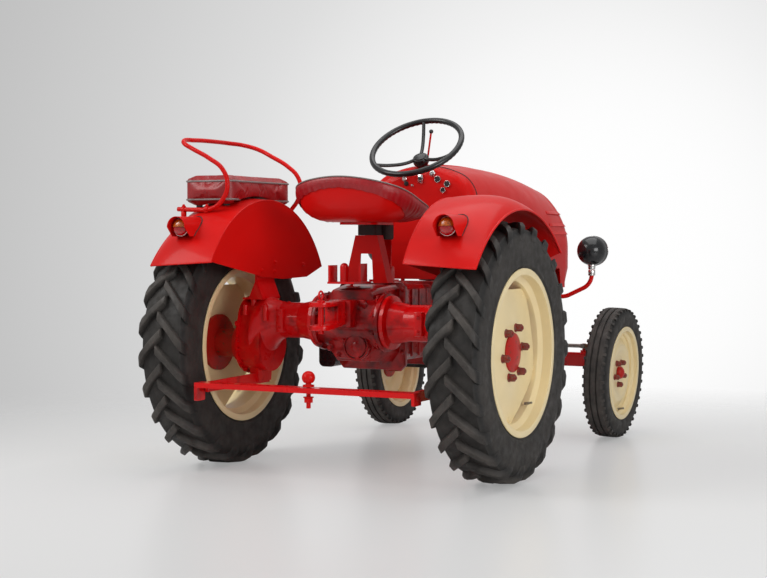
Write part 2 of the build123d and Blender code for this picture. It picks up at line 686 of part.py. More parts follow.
def steering_wheel():
    tilt = radians(WHEEL_TILT)
    down = column_down()
    up = down * -1
    forward = Vector(cos(tilt), 0, sin(tilt))
    centre = Vector(WHEEL_RIM_X, 0, WHEEL_RIM_Z)
    backward = forward * -1
    section = Plane(origin=centre, x_dir=backward, z_dir=(0, 1, 0))
    hub_centre = centre + down * WHEEL_DISH
    with BuildPart() as wheel:
        with BuildSketch(section):
            with Locations((WHEEL_RADIUS, 0)):
                Circle(WHEEL_GRIP)
        revolve(axis=Axis(centre, up))
        with BuildSketch(Plane(origin=hub_centre, x_dir=backward, z_dir=(0, 1, 0))):
            with BuildLine():
                Polyline((0, -26), (23, -26), (30, 0), (27, 8), (15, 14), (0, 15), close=True)
            make_face()
        revolve(axis=Axis(hub_centre, up))
        for spoke in range(SPOKES):
            turn = 2 * pi * spoke / SPOKES
            across = forward * cos(turn) + Vector(0, sin(turn), 0)
            rod(tuple(hub_centre + across * 15), tuple(centre + across * (WHEEL_RADIUS - 4)), 8)
    save(wheel, "steering_wheel")


# Bonnet and dash cowl share one cross-section at the seam
SEAM_X = -100.0
BONNET_HALF = 250.0
BONNET_TOP_Z = 1262.0
NOSE_X = 1005.0
NOSE_TOP_Z = 1207.0
NOSE_SPRING_Z = 880.0
NOSE_RADIUS = 250.0
BONNET_LOW_Z = 795.0
NOSE_LOW_Z = HOOD_HINGE_Z
NOSE_TAPER = 0.21
COWL_REAR_X = -165.0
COWL_FLOOR_Z = 920.0
COWL_ROUND = 46.0
COWL_WALL = 16.0


def bonnet_outline(top_z, spring_z, shoulder, inset, floor_z):
    """A closed cross-section: straight sides, two shoulder arcs and one crown arc."""
    half = BONNET_HALF - inset
    rise = top_z - inset - spring_z
    turn = radians(shoulder)
    corner = (half * cos(turn), spring_z + rise * sin(turn))
    mid = (half * cos(turn / 2), spring_z + rise * sin(turn / 2))
    right_side = Line((half, floor_z), (half, spring_z))
    right_shoulder = ThreePointArc(right_side @ 1, mid, corner)
    crown = ThreePointArc(right_shoulder @ 1, (0, top_z - inset), (-corner[0], corner[1]))
    left_shoulder = ThreePointArc(crown @ 1, (-mid[0], mid[1]), (-half, spring_z))
    left_side = Line(left_shoulder @ 1, (-half, floor_z))
    Line(left_side @ 1, right_side @ 0)


def nose_outline(inset, floor_z):
    """Half of the nose's section, from its upright axis outward."""
    radius = NOSE_RADIUS - inset
    rise = NOSE_TOP_Z - inset - NOSE_SPRING_Z
    turn = radians(52)
    corner = (radius * cos(turn), NOSE_SPRING_Z + rise * sin(turn))
    low_mid = (radius * cos(turn / 2), NOSE_SPRING_Z + rise * sin(turn / 2))
    high_mid = (radius * cos((pi / 2 + turn) / 2), NOSE_SPRING_Z + rise * sin((pi / 2 + turn) / 2))
    foot = Line((0, floor_z), (radius - (BONNET_LOW_Z - floor_z) * NOSE_TAPER, floor_z))
    taper = Line(foot @ 1, (radius, BONNET_LOW_Z))
    side = Line(taper @ 1, (radius, NOSE_SPRING_Z))
    shoulder = ThreePointArc(side @ 1, low_mid, corner)
    crown = ThreePointArc(shoulder @ 1, high_mid, (0, NOSE_TOP_Z - inset))
    Line(crown @ 1, foot @ 0)


# Bonnet stations: x, crown height, height where the sides end, shoulder turn in degrees
BONNET_STATIONS = ((SEAM_X, BONNET_TOP_Z, 1120.0, 52.0),
                   (450.0, 1266.0, 1060.0, 52.0),
                   (NOSE_X, NOSE_TOP_Z, NOSE_SPRING_Z, 52.0))


def bonnet_body(inset, floor_z, rear_x):
    """The bonnet's outer or inner volume, added to or cut from what is being built."""
    with BuildPart(mode=Mode.PRIVATE) as body:
        for number, (x, top_z, spring_z, shoulder) in enumerate(BONNET_STATIONS):
            with BuildSketch(cross_plane(rear_x if number == 0 else x)):
                with BuildLine():
                    bonnet_outline(top_z, spring_z, shoulder, inset, floor_z)
                make_face()
        loft()
        with BuildSketch(cross_plane(NOSE_X)):
            with BuildLine():
                nose_outline(inset, floor_z)
            make_face()
        revolve(axis=Axis((NOSE_X, 0, 0), (0, 0, -1)), revolution_arc=180)
    return body.part


SLOT_HEIGHTS = (970.0, 1010.0, 1070.0)
SLOT_LENGTH = 390.0
SLOT_HIGH = 12.0


def hinge_lugs():
    """Two lugs from the nose's inner wall back to the hinge pins, trimmed to the nose's form."""
    with BuildPart(mode=Mode.PRIVATE) as lugs:
        for side, name in SIDES:
            with BuildSketch(side_plane(side * (HOOD_HINGE_Y + 8))):
                with BuildLine():
                    Polyline((HOOD_HINGE_X - 14, HOOD_HINGE_Z - 14), (HOOD_HINGE_X + 14, HOOD_HINGE_Z - 14),
                             (HOOD_HINGE_X + 60, HOOD_HINGE_Z), (HOOD_HINGE_X + 60, HOOD_HINGE_Z + 60),
                             (HOOD_HINGE_X + 16, HOOD_HINGE_Z + 60), (HOOD_HINGE_X - 14, HOOD_HINGE_Z + 14),
                             close=True)
                make_face()
                with Locations((HOOD_HINGE_X, HOOD_HINGE_Z)):
                    Circle(HOOD_HINGE_PIN + 0.05, mode=Mode.SUBTRACT)
            extrude(amount=3, both=True)
        add(bonnet_body(SHEET / 2, NOSE_LOW_Z - 30, SEAM_X), mode=Mode.INTERSECT)
    return lugs.part


def bonnet():
    with BuildPart() as hood:
        add(bonnet_body(0, NOSE_LOW_Z, SEAM_X))
        add(bonnet_body(SHEET, NOSE_LOW_Z - 20, SEAM_X - 10), mode=Mode.SUBTRACT)
        with BuildSketch(side_plane(0)):
            with BuildLine():
                Polyline((SEAM_X - 40, NOSE_LOW_Z - 60), (SEAM_X - 40, COWL_FLOOR_Z), (SEAM_X, COWL_FLOOR_Z),
                         (NOSE_X - 255, BONNET_LOW_Z + 5), (NOSE_X - 75, BONNET_LOW_Z),
                         (NOSE_X - 55, NOSE_LOW_Z), (NOSE_X - 55, NOSE_LOW_Z - 60), close=True)
            make_face()
        extrude(amount=BONNET_HALF + 50, both=True, mode=Mode.SUBTRACT)
        for height in SLOT_HEIGHTS:
            with BuildSketch(side_plane(0)):
                with Locations((NOSE_X - 25, height)):
                    SlotOverall(SLOT_LENGTH, SLOT_HIGH)
            extrude(amount=BONNET_HALF + 50, both=True, mode=Mode.SUBTRACT)
        add(hinge_lugs())
    save(hood, "bonnet")


def dash_cowl():
    """The cowl behind the bonnet seam: rounded dash face above, narrower leg shield below."""
    front_x = SEAM_X - SWING_GAP
    x, top_z, spring_z, shoulder = BONNET_STATIONS[0]
    with BuildPart() as cowl:
        with BuildSketch(cross_plane(COWL_REAR_X)):
            with BuildLine():
                bonnet_outline(top_z, spring_z, shoulder, 0, COWL_FLOOR_Z)
            make_face()
        extrude(amount=front_x - COWL_REAR_X)
        rear_edges = cowl.faces().sort_by(Axis.X)[0].edges()
        fillet(rear_edges.filter_by(lambda edge: edge.center().Z > COWL_FLOOR_Z + 1), radius=COWL_ROUND)
        with BuildSketch(cross_plane(front_x)):
            with BuildLine():
                bonnet_outline(top_z, spring_z, shoulder, COWL_WALL, COWL_FLOOR_Z - 1)
            make_face()
        extrude(amount=-(front_x - COWL_REAR_X - COWL_WALL), mode=Mode.SUBTRACT)
        with BuildSketch(cross_plane(COWL_REAR_X + 2)):
            with BuildLine():
                Polyline((-BONNET_HALF + 50, 935), (-BONNET_HALF + 50, 915), (-135, 765), (135, 765),
                         (BONNET_HALF - 50, 915), (BONNET_HALF - 50, 935), close=True)
            make_face()
        extrude(amount=5)
        with Locations(Plane(origin=(WHEEL_RIM_X, 0, WHEEL_RIM_Z), z_dir=column_down())):
            Cylinder(COLUMN_RADIUS + 1, 400, mode=Mode.SUBTRACT)
    save(cowl, "dash_cowl")


# Dials and switches on the dash face: y, z, radius, how far they stand out
DIALS = ((-60, 1228, 13, 7), (-79, 1202, 13, 6), (-127, 1180, 12, 6), (-108, 1154, 10, 9),
         (72, 1205, 12, 6), (76, 1182, 11, 7), (104, 1160, 9, 10))


def instruments():
    face_x = COWL_REAR_X - RUNNING_GAP
    with BuildPart() as dials:
        for y, z, radius, out in DIALS:
            with BuildSketch(cross_plane(face_x)):
                with Locations((y, z)):
                    Circle(radius)
            extrude(amount=-out)
        with BuildSketch(cross_plane(face_x)):
            with Locations((0, 1200)):
                RectangleRounded(24, 44, 4)
        extrude(amount=-8)
    save(dials, "instruments")


def throttle_lever():
    foot = (-113, -26, 1269.3)
    knob = (-30, -27, 1412)
    with BuildPart() as lever:
        rod(foot, knob, 4)
        with Locations(knob):
            Sphere(11)
        with Locations(foot):
            Sphere(8)
    save(lever, "throttle_lever")


# Rear fenders: arcs about their own centres, from the inner side plate to the outer rolled edge
FENDER_IN_Y = 437.0
FENDER_OUT_Y = 704.0
FENDER_IN_ARC = (-737.0, 575.0, 531.0)
FENDER_OUT_ARC = (-718.0, 462.0, 594.0)
FENDER_REAR_X = -1180.0
FENDER_FRONT_X = -292.0
FENDER_STATIONS = (0.0, 0.4, 0.75, 1.0)
FENDER_ROLL = 2.8


def fender_arc(share, inset):
    """Centre and radius of the fender's curve, at a share of the way from inner to outer edge."""
    fall = share ** FENDER_ROLL
    mix = [inner + (outer - inner) * fall for inner, outer in zip(FENDER_IN_ARC, FENDER_OUT_ARC)]
    return mix[0], mix[1], mix[2] - inset


def fender_ends(share):
    """Where the curve stops behind and in front, as angles about its own centre."""
    x, z, radius = fender_arc(share, 0)
    return degrees(acos((FENDER_REAR_X - x) / radius)), degrees(acos((FENDER_FRONT_X - x) / radius))


def fender(side, name):
    with BuildPart() as guard:
        for share in FENDER_STATIONS:
            y = side * (FENDER_IN_Y + share * (FENDER_OUT_Y - FENDER_IN_Y))
            rear, front = fender_ends(share)
            x, z, outer = fender_arc(share, 0)
            inner = outer - SHEET
            with BuildSketch(side_plane(y)):
                with BuildLine():
                    top = CenterArc((x, z), outer, front, rear - front)
                    low = CenterArc((x, z), inner, front, rear - front)
                    Line(top @ 0, low @ 0)
                    Line(top @ 1, low @ 1)
                make_face()
        loft()
        rear, front = fender_ends(0)
        x, z, outer = fender_arc(0, 0)
        with BuildSketch(side_plane(side * FENDER_IN_Y)):
            with BuildLine():
                top = CenterArc((x, z), outer, front, rear - front)
                Polyline(top @ 0, (REAR_AXLE_X + 326, 779), (REAR_AXLE_X - 103, 775), top @ 1)
            make_face()
        extrude(amount=-side * SHEET)
    save(guard, f"fender_{name}")


def fender_brackets():
    """Folded brackets from the drop cases up to the fenders' side plates."""
    with BuildPart() as brackets:
        for side, name in SIDES:
            plate_y = FENDER_IN_Y - RUNNING_GAP
            foot_z = TRUMPET_Z + DROP_CASE_TOP_RADIUS + RUNNING_GAP
            with BuildSketch(Plane(origin=(REAR_AXLE_X, 0, 0), x_dir=(0, side, 0), z_dir=(side, 0, 0))):
                with BuildLine():
                    Polyline((plate_y, 860), (plate_y, 765), (plate_y + 30, foot_z + 8),
                             (plate_y + 60, foot_z + 8), (plate_y + 60, foot_z), (plate_y - 36, foot_z),
                             (plate_y - 36, foot_z + 8), (plate_y - 8, 768), (plate_y - 8, 860), close=True)
                make_face()
            extrude(amount=70, both=True)
    save(brackets, "fender_brackets")


# Tail lamps stand on the rear sheets under arched hoods
LAMP_Y = 580.0
LAMP_X = -1128.0
LAMP_Z = 978.0
LAMP_RADIUS = 36.0
LAMP_HOOD_GAP = 8.0
LAMP_HOOD_WALL = 2.5
LAMP_HOOD_REAR_X = LAMP_X - 36


def fender_core(side, grow):
    """Everything under the fender's outer skin, made larger by grow; used to seat what stands on it."""
    with BuildPart(mode=Mode.PRIVATE) as core:
        for share in FENDER_STATIONS:
            y = side * (FENDER_IN_Y + share * (FENDER_OUT_Y - FENDER_IN_Y))
            x, z, radius = fender_arc(share, -grow)
            with BuildSketch(side_plane(y)):
                with Locations((x, z)):
                    Circle(radius)
        loft()
        with BuildSketch(side_plane(side * FENDER_IN_Y)):
            with Locations((FENDER_IN_ARC[0], FENDER_IN_ARC[1])):
                Circle(FENDER_IN_ARC[2] + grow)
        extrude(amount=side * (SHEET + grow))
    return core.part


def tail_lamps():
    hood_radius = LAMP_RADIUS + LAMP_HOOD_GAP
    leg_z = LAMP_Z - LAMP_RADIUS - 2
    with BuildPart() as hoods:
        for side, name in SIDES:
            with BuildSketch(cross_plane(LAMP_HOOD_REAR_X)):
                with Locations((side * LAMP_Y, LAMP_Z)):
                    Circle(hood_radius + LAMP_HOOD_WALL)
                with Locations((side * LAMP_Y, (LAMP_Z + leg_z) / 2)):
                    Rectangle(2 * (hood_radius + LAMP_HOOD_WALL), LAMP_Z - leg_z)
                with Locations((side * LAMP_Y, LAMP_Z)):
                    Circle(hood_radius, mode=Mode.SUBTRACT)
                with Locations((side * LAMP_Y, leg_z)):
                    Rectangle(2 * hood_radius, 2 * (LAMP_Z - leg_z), mode=Mode.SUBTRACT)
                with Locations((side * LAMP_Y, leg_z - 50)):
                    Rectangle(4 * hood_radius, 100, mode=Mode.SUBTRACT)
            extrude(amount=150)
            add(fender_core(side, RUNNING_GAP), mode=Mode.SUBTRACT)
        with BuildSketch(side_plane(0)):
            with BuildLine():
                Polyline((LAMP_HOOD_REAR_X - 1, leg_z - 1), (LAMP_HOOD_REAR_X - 1, LAMP_Z),
                         (LAMP_HOOD_REAR_X + 34, leg_z - 1), close=True)
            make_face()
        extrude(amount=FENDER_OUT_Y, both=True, mode=Mode.SUBTRACT)
    save(hoods, "tail_lamp_hoods")
    with BuildPart() as lamps:
        for side, name in SIDES:
            with BuildSketch(cross_plane(LAMP_X)):
                with Locations((side * LAMP_Y, LAMP_Z)):
                    Circle(LAMP_RADIUS)
            extrude(amount=90)
            centre = (LAMP_X, side * LAMP_Y, LAMP_Z)
            with BuildSketch(Plane(origin=centre, x_dir=(-1, 0, 0), z_dir=(0, 1, 0))):
                with BuildLine():
                    back = Line((0, 0), (0, LAMP_RADIUS))
                    top = dome(0, LAMP_RADIUS, 26)
                    Line(top @ 1, back @ 0)
                make_face()
            revolve(axis=Axis(centre, (-1, 0, 0)))
            add(fender_core(side, RUNNING_GAP), mode=Mode.SUBTRACT)
    save(lamps, "tail_lamps")


# Fender seat on the left: cushion and hand rail
CUSHION_REAR_X = -972.0
CUSHION_FRONT_X = -530.0
CUSHION_IN_Y = 458.0
CUSHION_OUT_Y = 690.0
CUSHION_LOW_Z = 1086.0
CUSHION_TOP_Z = 1188.0
RAIL_RADIUS = 10.0
RAIL_REAR_X = -990.0
RAIL_FRONT_X = -480.0
RAIL_LOW_Z = 1058.0
RAIL_FOOT_Y = FENDER_IN_Y + 9
RAIL_CLIPS = (520, 655)


def fender_cushion():
    with BuildPart() as cushion:
        with BuildSketch(Plane.XY.offset(CUSHION_LOW_Z)):
            with Locations(((CUSHION_REAR_X + CUSHION_FRONT_X) / 2, (CUSHION_IN_Y + CUSHION_OUT_Y) / 2)):
                RectangleRounded(CUSHION_FRONT_X - CUSHION_REAR_X, CUSHION_OUT_Y - CUSHION_IN_Y, 45)
        extrude(amount=CUSHION_TOP_Z - CUSHION_LOW_Z)
        fillet(cushion.faces().sort_by(Axis.Z)[-1].edges(), radius=10)
        add(fender_core(LEFT, RUNNING_GAP + 0.5), mode=Mode.SUBTRACT)
    save(cushion, "fender_cushion")


def hand_rail():
    foot_x = RAIL_FRONT_X - 22
    route = ((RAIL_REAR_X, 676, RAIL_LOW_Z), (RAIL_REAR_X, 500, RAIL_LOW_Z), (RAIL_REAR_X, 448, 1190),
             (RAIL_REAR_X, 700, 1350), (RAIL_FRONT_X, 704, 1354), (RAIL_FRONT_X, 426, 1205),
             (foot_x, RAIL_FOOT_Y, RAIL_LOW_Z + 12))
    with BuildPart() as rail:
        bent_rod(route, (38, 62, 48, 60, 55), RAIL_RADIUS)
        for y in RAIL_CLIPS:
            start = (RAIL_REAR_X, y - 8, RAIL_LOW_Z)
            with BuildSketch(Plane(origin=start, x_dir=(1, 0, 0), z_dir=(0, 1, 0))):
                Circle(RAIL_RADIUS + 3)
                with Locations((0, 45)):
                    Rectangle(14, 90)
            extrude(amount=16)
        rod((foot_x, RAIL_FOOT_Y, RAIL_LOW_Z + 22), (foot_x, RAIL_FOOT_Y + 6, RAIL_LOW_Z - 18), 13)
        add(fender_core(LEFT, RUNNING_GAP), mode=Mode.SUBTRACT)
        add(rail.part.solids().sort_by(SortBy.VOLUME)[-1], mode=Mode.REPLACE)
    save(rail, "hand_rail")


# Driver's seat: pan, padded cover, spring arm and tower
SEAT_X = -700.0
SEAT_FLOOR_Z = 1008.0
# Seat form: height, half length, half width
SEAT_FORM = ((SEAT_FLOOR_Z, 125.0, 145.0), (1036.0, 178.0, 205.0), (1080.0, 204.0, 236.0),
             (1215.0, 226.0, 256.0))
SEAT_WALL = 3.0
COVER_SKIN = 4.0
COVER_PAD = 24.0
SKIRT_DROP = 46.0
BUFFER_Z = 956.0


def seat_oval(half_long, half_wide):
    """An oval of four arcs, its corners where the sides turn into the front and back."""
    x, y = 0.66 * half_long, 0.75 * half_wide
    left = ThreePointArc((x, y), (0, half_wide), (-x, y))
    back = ThreePointArc(left @ 1, (-half_long, 0), (-x, -y))
    right = ThreePointArc(back @ 1, (0, -half_wide), (x, -y))
    ThreePointArc(right @ 1, (half_long, 0), left @ 0)


def seat_form(grow, floor_z):
    """The seat's outer form as four ovals, grown or shrunk by the same amount all round."""
    with BuildPart(mode=Mode.PRIVATE) as form:
        for number, (z, half_long, half_wide) in enumerate(SEAT_FORM):
            with BuildSketch(Plane(origin=(SEAT_X, 0, floor_z if number == 0 else z), z_dir=(0, 0, 1))):
                with BuildLine():
                    seat_oval(half_long + grow, half_wide + grow)
                make_face()
        loft(ruled=True)
    return form.part


def above_rim(rise):
    """Everything above the seat's rim line, which is level behind and falls to the front."""
    with BuildPart(mode=Mode.PRIVATE) as waste:
        with BuildSketch(side_plane(0)):
            with BuildLine():
                Polyline((SEAT_X - 300, 1184 + rise), (SEAT_X - 90, 1184 + rise), (SEAT_X + 30, 1140 + rise),
                         (SEAT_X + 130, 1076 + rise), (SEAT_X + 300, 1048 + rise), (SEAT_X + 300, 1300),
                         (SEAT_X - 300, 1300), close=True)
            make_face()
        extrude(amount=400, both=True)
    return waste.part


def seat():
    with BuildPart() as pan:
        add(seat_form(0, SEAT_FLOOR_Z))
        add(seat_form(-SEAT_WALL, SEAT_FLOOR_Z + SEAT_WALL), mode=Mode.SUBTRACT)
        add(above_rim(0), mode=Mode.SUBTRACT)
    save(pan, "seat_pan")
    with BuildPart(mode=Mode.PRIVATE) as skirt_waste:
        add(seat_form(COVER_SKIN + 20, SEAT_FLOOR_Z - 20))
        add(seat_form(-SEAT_WALL - RUNNING_GAP, SEAT_FLOOR_Z + SEAT_WALL + RUNNING_GAP), mode=Mode.SUBTRACT)
        add(above_rim(-SKIRT_DROP), mode=Mode.SUBTRACT)
    with BuildPart(mode=Mode.PRIVATE) as pan_room:
        add(seat_form(RUNNING_GAP, SEAT_FLOOR_Z - 1))
        add(seat_form(-SEAT_WALL - RUNNING_GAP, SEAT_FLOOR_Z + SEAT_WALL + RUNNING_GAP), mode=Mode.SUBTRACT)
        add(above_rim(RUNNING_GAP), mode=Mode.SUBTRACT)
    with BuildPart() as cover:
        add(seat_form(COVER_SKIN, SEAT_FLOOR_Z))
        add(above_rim(COVER_SKIN), mode=Mode.SUBTRACT)
        add(seat_form(-COVER_PAD, SEAT_FLOOR_Z + COVER_PAD + 8), mode=Mode.SUBTRACT)
        add(skirt_waste.part, mode=Mode.SUBTRACT)
        add(pan_room.part, mode=Mode.SUBTRACT)
    save(cover, "seat_cover")


TOWER_X = -640.0
TOWER_BOX_LOW_Z = 881.0
ARM_PIVOT = (-505.0, 0.0, 812.0)
ARM_TOP_Z = SEAT_FLOOR_Z - RUNNING_GAP - 1
ARM_BEND_X = -590.0
ARM_BEND_Z = 910.0


def seat_supports():
    half = 50.0
    with BuildPart() as tower:
        with BuildSketch(Plane.XY.offset(TOWER_BOX_LOW_Z)):
            with Locations((TOWER_X, 0)):
                Rectangle(54, 2 * half)
        extrude(amount=BUFFER_Z - TOWER_BOX_LOW_Z)
        for side, name in SIDES:
            foot_z = GEARBOX_TOP_Z + RUNNING_GAP
            with BuildSketch(cross_plane(TOWER_X - 27)):
                with BuildLine():
                    Polyline((side * half, BUFFER_Z), (side * 98, foot_z), (side * 32, foot_z),
                             (side * 26, TOWER_BOX_LOW_Z), (side * 26, BUFFER_Z), close=True)
                make_face()
            extrude(amount=6)
            with BuildSketch(cross_plane(TOWER_X - 27)):
                with BuildLine():
                    Polyline((side * half, BUFFER_Z), (side * 98, foot_z), (side * 92, foot_z),
                             (side * (half - 6), BUFFER_Z), close=True)
                make_face()
            extrude(amount=54)
    save(tower, "seat_tower")
    with BuildPart() as arm:
        with BuildSketch(Plane.XY.offset(SEAT_FLOOR_Z - 9 - RUNNING_GAP)):
            with Locations((SEAT_X + 40, 0)):
                RectangleRounded(210, 170, 40)
        extrude(amount=9)
        with BuildSketch(side_plane(0)):
            with BuildLine():
                over = Line((SEAT_X + 60, ARM_TOP_Z), (ARM_BEND_X, ARM_TOP_Z))
                out = CenterArc((ARM_BEND_X, ARM_BEND_Z), ARM_TOP_Z - ARM_BEND_Z, 90, -78)
                down = Line(out @ 1, (ARM_PIVOT[0] + 5, ARM_PIVOT[2]))
                foot = Line(down @ 1, (ARM_PIVOT[0] - 4, ARM_PIVOT[2]))
                under = CenterArc((ARM_BEND_X, ARM_BEND_Z), ARM_TOP_Z - 8 - ARM_BEND_Z, 90, -78)
                Line(foot @ 1, under @ 1)
                back = Line(under @ 0, (SEAT_X + 60, ARM_TOP_Z - 8))
                Line(back @ 1, over @ 0)
            make_face()
        extrude(amount=32, both=True)
        with BuildSketch(side_plane(0)):
            with Locations((ARM_PIVOT[0], ARM_PIVOT[2])):
                Circle(15)
        extrude(amount=42, both=True)
        with BuildSketch(Plane.XY.offset(GEARBOX_TOP_Z + RUNNING_GAP)):
            with Locations((ARM_PIVOT[0], 0)):
                Rectangle(70, 104)
        extrude(amount=10)
        with BuildSketch(Plane.XY.offset(GEARBOX_TOP_Z + RUNNING_GAP)):
            with Locations((ARM_PIVOT[0], 0)):
                Rectangle(30, 84)
        extrude(amount=ARM_PIVOT[2] - GEARBOX_TOP_Z)
    save(arm, "seat_arm")
    with BuildPart() as buffer:
        with BuildSketch(Plane.XY.offset(BUFFER_Z + RUNNING_GAP)):
            with Locations((TOWER_X + 6, 0)):
                RectangleRounded(66, 84, 12)
        extrude(amount=SEAT_FLOOR_Z - 9 - BUFFER_Z - 3 * RUNNING_GAP)
    save(buffer, "seat_buffer")


# Rear hitches
CLEVIS_PIN_X = -1047.0
CLEVIS_HALF = 44.0
CLEVIS_LOW_Z = 588.0
CLEVIS_TOP_Z = 697.0
CLEVIS_PLATE = 14.0
CLEVIS_PIN_RADIUS = 11.0
DRAWBAR_X = -1180.0
DRAWBAR_HALF = 478.0
DRAWBAR_LOW_Z = 359.0
DRAWBAR_THICK = 20.0
DRAWBAR_WIDE = 60.0
HITCH_PITCH = 80.0
HITCH_HOLE_RADIUS = 11.0
BALL_RADIUS = 25.0
BALL_Z = 416.0


def hitch_clevis():
    face_x = GEARBOX_REAR_X - 22 - RUNNING_GAP
    with BuildPart() as clevis:
        with BuildSketch(cross_plane(face_x)):
            with Locations((0, (CLEVIS_LOW_Z + CLEVIS_TOP_Z) / 2)):
                Rectangle(130, CLEVIS_TOP_Z - CLEVIS_LOW_Z)
        extrude(amount=-16)
        for low in (CLEVIS_LOW_Z, CLEVIS_TOP_Z - CLEVIS_PLATE):
            with BuildSketch(Plane.XY.offset(low)):
                with Locations((CLEVIS_PIN_X, 0)):
                    Circle(CLEVIS_HALF)
                with Locations((face_x - 20, 0)):
                    Rectangle(12, 2 * CLEVIS_HALF)
                make_hull()
                with Locations((CLEVIS_PIN_X, 0)):
                    Circle(CLEVIS_PIN_RADIUS + RUNNING_GAP, mode=Mode.SUBTRACT)
            extrude(amount=CLEVIS_PLATE)
    save(clevis, "hitch_clevis")
    with BuildPart() as pin:
        rod((CLEVIS_PIN_X, 0, CLEVIS_LOW_Z - 14), (CLEVIS_PIN_X, 0, CLEVIS_TOP_Z + 8), CLEVIS_PIN_RADIUS)
        with BuildSketch(Plane.XY.offset(CLEVIS_TOP_Z + RUNNING_GAP)):
            with Locations((CLEVIS_PIN_X, 0)):
                Circle(16)
        extrude(amount=6)
        with Locations(Plane(origin=(CLEVIS_PIN_X, 0, CLEVIS_TOP_Z + 26), z_dir=(0, 1, 0))):
            Torus(16, 4)
    save(pin, "hitch_pin")


def lever_bracket():
    floor = GEARBOX_TOP_Z + RUNNING_GAP
    with BuildPart() as bracket:
        with BuildSketch(Plane.XY.offset(floor)):
            with Locations((-790, 12)):
                Rectangle(150, 120)
        extrude(amount=8)
        for x, y, length, high in ((-830, 66, 60, 74), (-760, -34, 56, 80)):
            with BuildSketch(Plane.XY.offset(floor)):
                with Locations((x, y)):
                    Rectangle(length, 10)
            extrude(amount=high)
        rod((-815, 22, floor), (-815, 22, floor + 66), 17)
        with Locations((-815, 22, floor + 66)):
            Sphere(17)
    save(bracket, "lever_bracket")


def drawbar():
    arm_y = 452.0
    with BuildPart() as bar:
        with BuildSketch(Plane.XY.offset(DRAWBAR_LOW_Z)):
            with Locations((DRAWBAR_X, 0)):
                Rectangle(DRAWBAR_WIDE, 2 * DRAWBAR_HALF)
                with GridLocations(0, HITCH_PITCH, 1, 9):
                    Circle(HITCH_HOLE_RADIUS + RUNNING_GAP, mode=Mode.SUBTRACT)
        extrude(amount=DRAWBAR_THICK)
        for side, name in SIDES:
            drop = 52 if side == LEFT else 28
            with BuildSketch(side_plane(side * DRAWBAR_HALF)):
                with Locations((DRAWBAR_X, DRAWBAR_LOW_Z + DRAWBAR_THICK - (drop + DRAWBAR_THICK) / 2)):
                    RectangleRounded(DRAWBAR_WIDE, drop + DRAWBAR_THICK, 6)
            extrude(amount=side * 12)
            with BuildSketch(side_plane(side * arm_y)):
                with BuildLine():
                    Polyline((DRAWBAR_X + 20, DRAWBAR_LOW_Z + DRAWBAR_THICK), (REAR_AXLE_X + 60, 386),
                             (REAR_AXLE_X + 60, 340), (DRAWBAR_X + 20, DRAWBAR_LOW_Z - 20), close=True)
                make_face()
            extrude(amount=6, both=True)
            with BuildSketch(side_plane(side * arm_y)):
                with BuildLine():
                    Polyline((REAR_AXLE_X - 62, 470), (REAR_AXLE_X + 62, 470), (REAR_AXLE_X + 50, 350),
                             (REAR_AXLE_X - 50, 350), close=True)
                make_face()
            extrude(amount=20, both=True)
            with BuildSketch(side_plane(side * DROP_CASE_IN_Y)):
                with Locations((REAR_AXLE_X, REAR_WHEEL_Z)):
                    Circle(DROP_CASE_LOW_RADIUS + RUNNING_GAP)
            extrude(amount=-side * (DROP_CASE_OUT_Y - DROP_CASE_IN_Y), mode=Mode.SUBTRACT)
    save(bar, "drawbar")
    bar_top = DRAWBAR_LOW_Z + DRAWBAR_THICK
    with BuildPart() as ball:
        with Locations((DRAWBAR_X, 0, BALL_Z)):
            Sphere(BALL_RADIUS)
        rod((DRAWBAR_X, 0, bar_top + 10), (DRAWBAR_X, 0, BALL_Z), 14)
        rod((DRAWBAR_X, 0, bar_top + RUNNING_GAP), (DRAWBAR_X, 0, bar_top + 12), 26)
        rod((DRAWBAR_X, 0, DRAWBAR_LOW_Z - 50), (DRAWBAR_X, 0, bar_top + 10), HITCH_HOLE_RADIUS)
        with BuildSketch(Plane.XY.offset(DRAWBAR_LOW_Z - RUNNING_GAP)):
            with Locations((DRAWBAR_X, 0)):
                RegularPolygon(19, 6)
        extrude(amount=-20)
    save(ball, "ball_hitch")


# Head lamps on bent stalks
HEAD_X = 550.0
HEAD_Y = 547.0
HEAD_Z = 886.0
HEAD_RADIUS = 68.0
STALK_RADIUS = 10.0
STALK_Z = 672.0


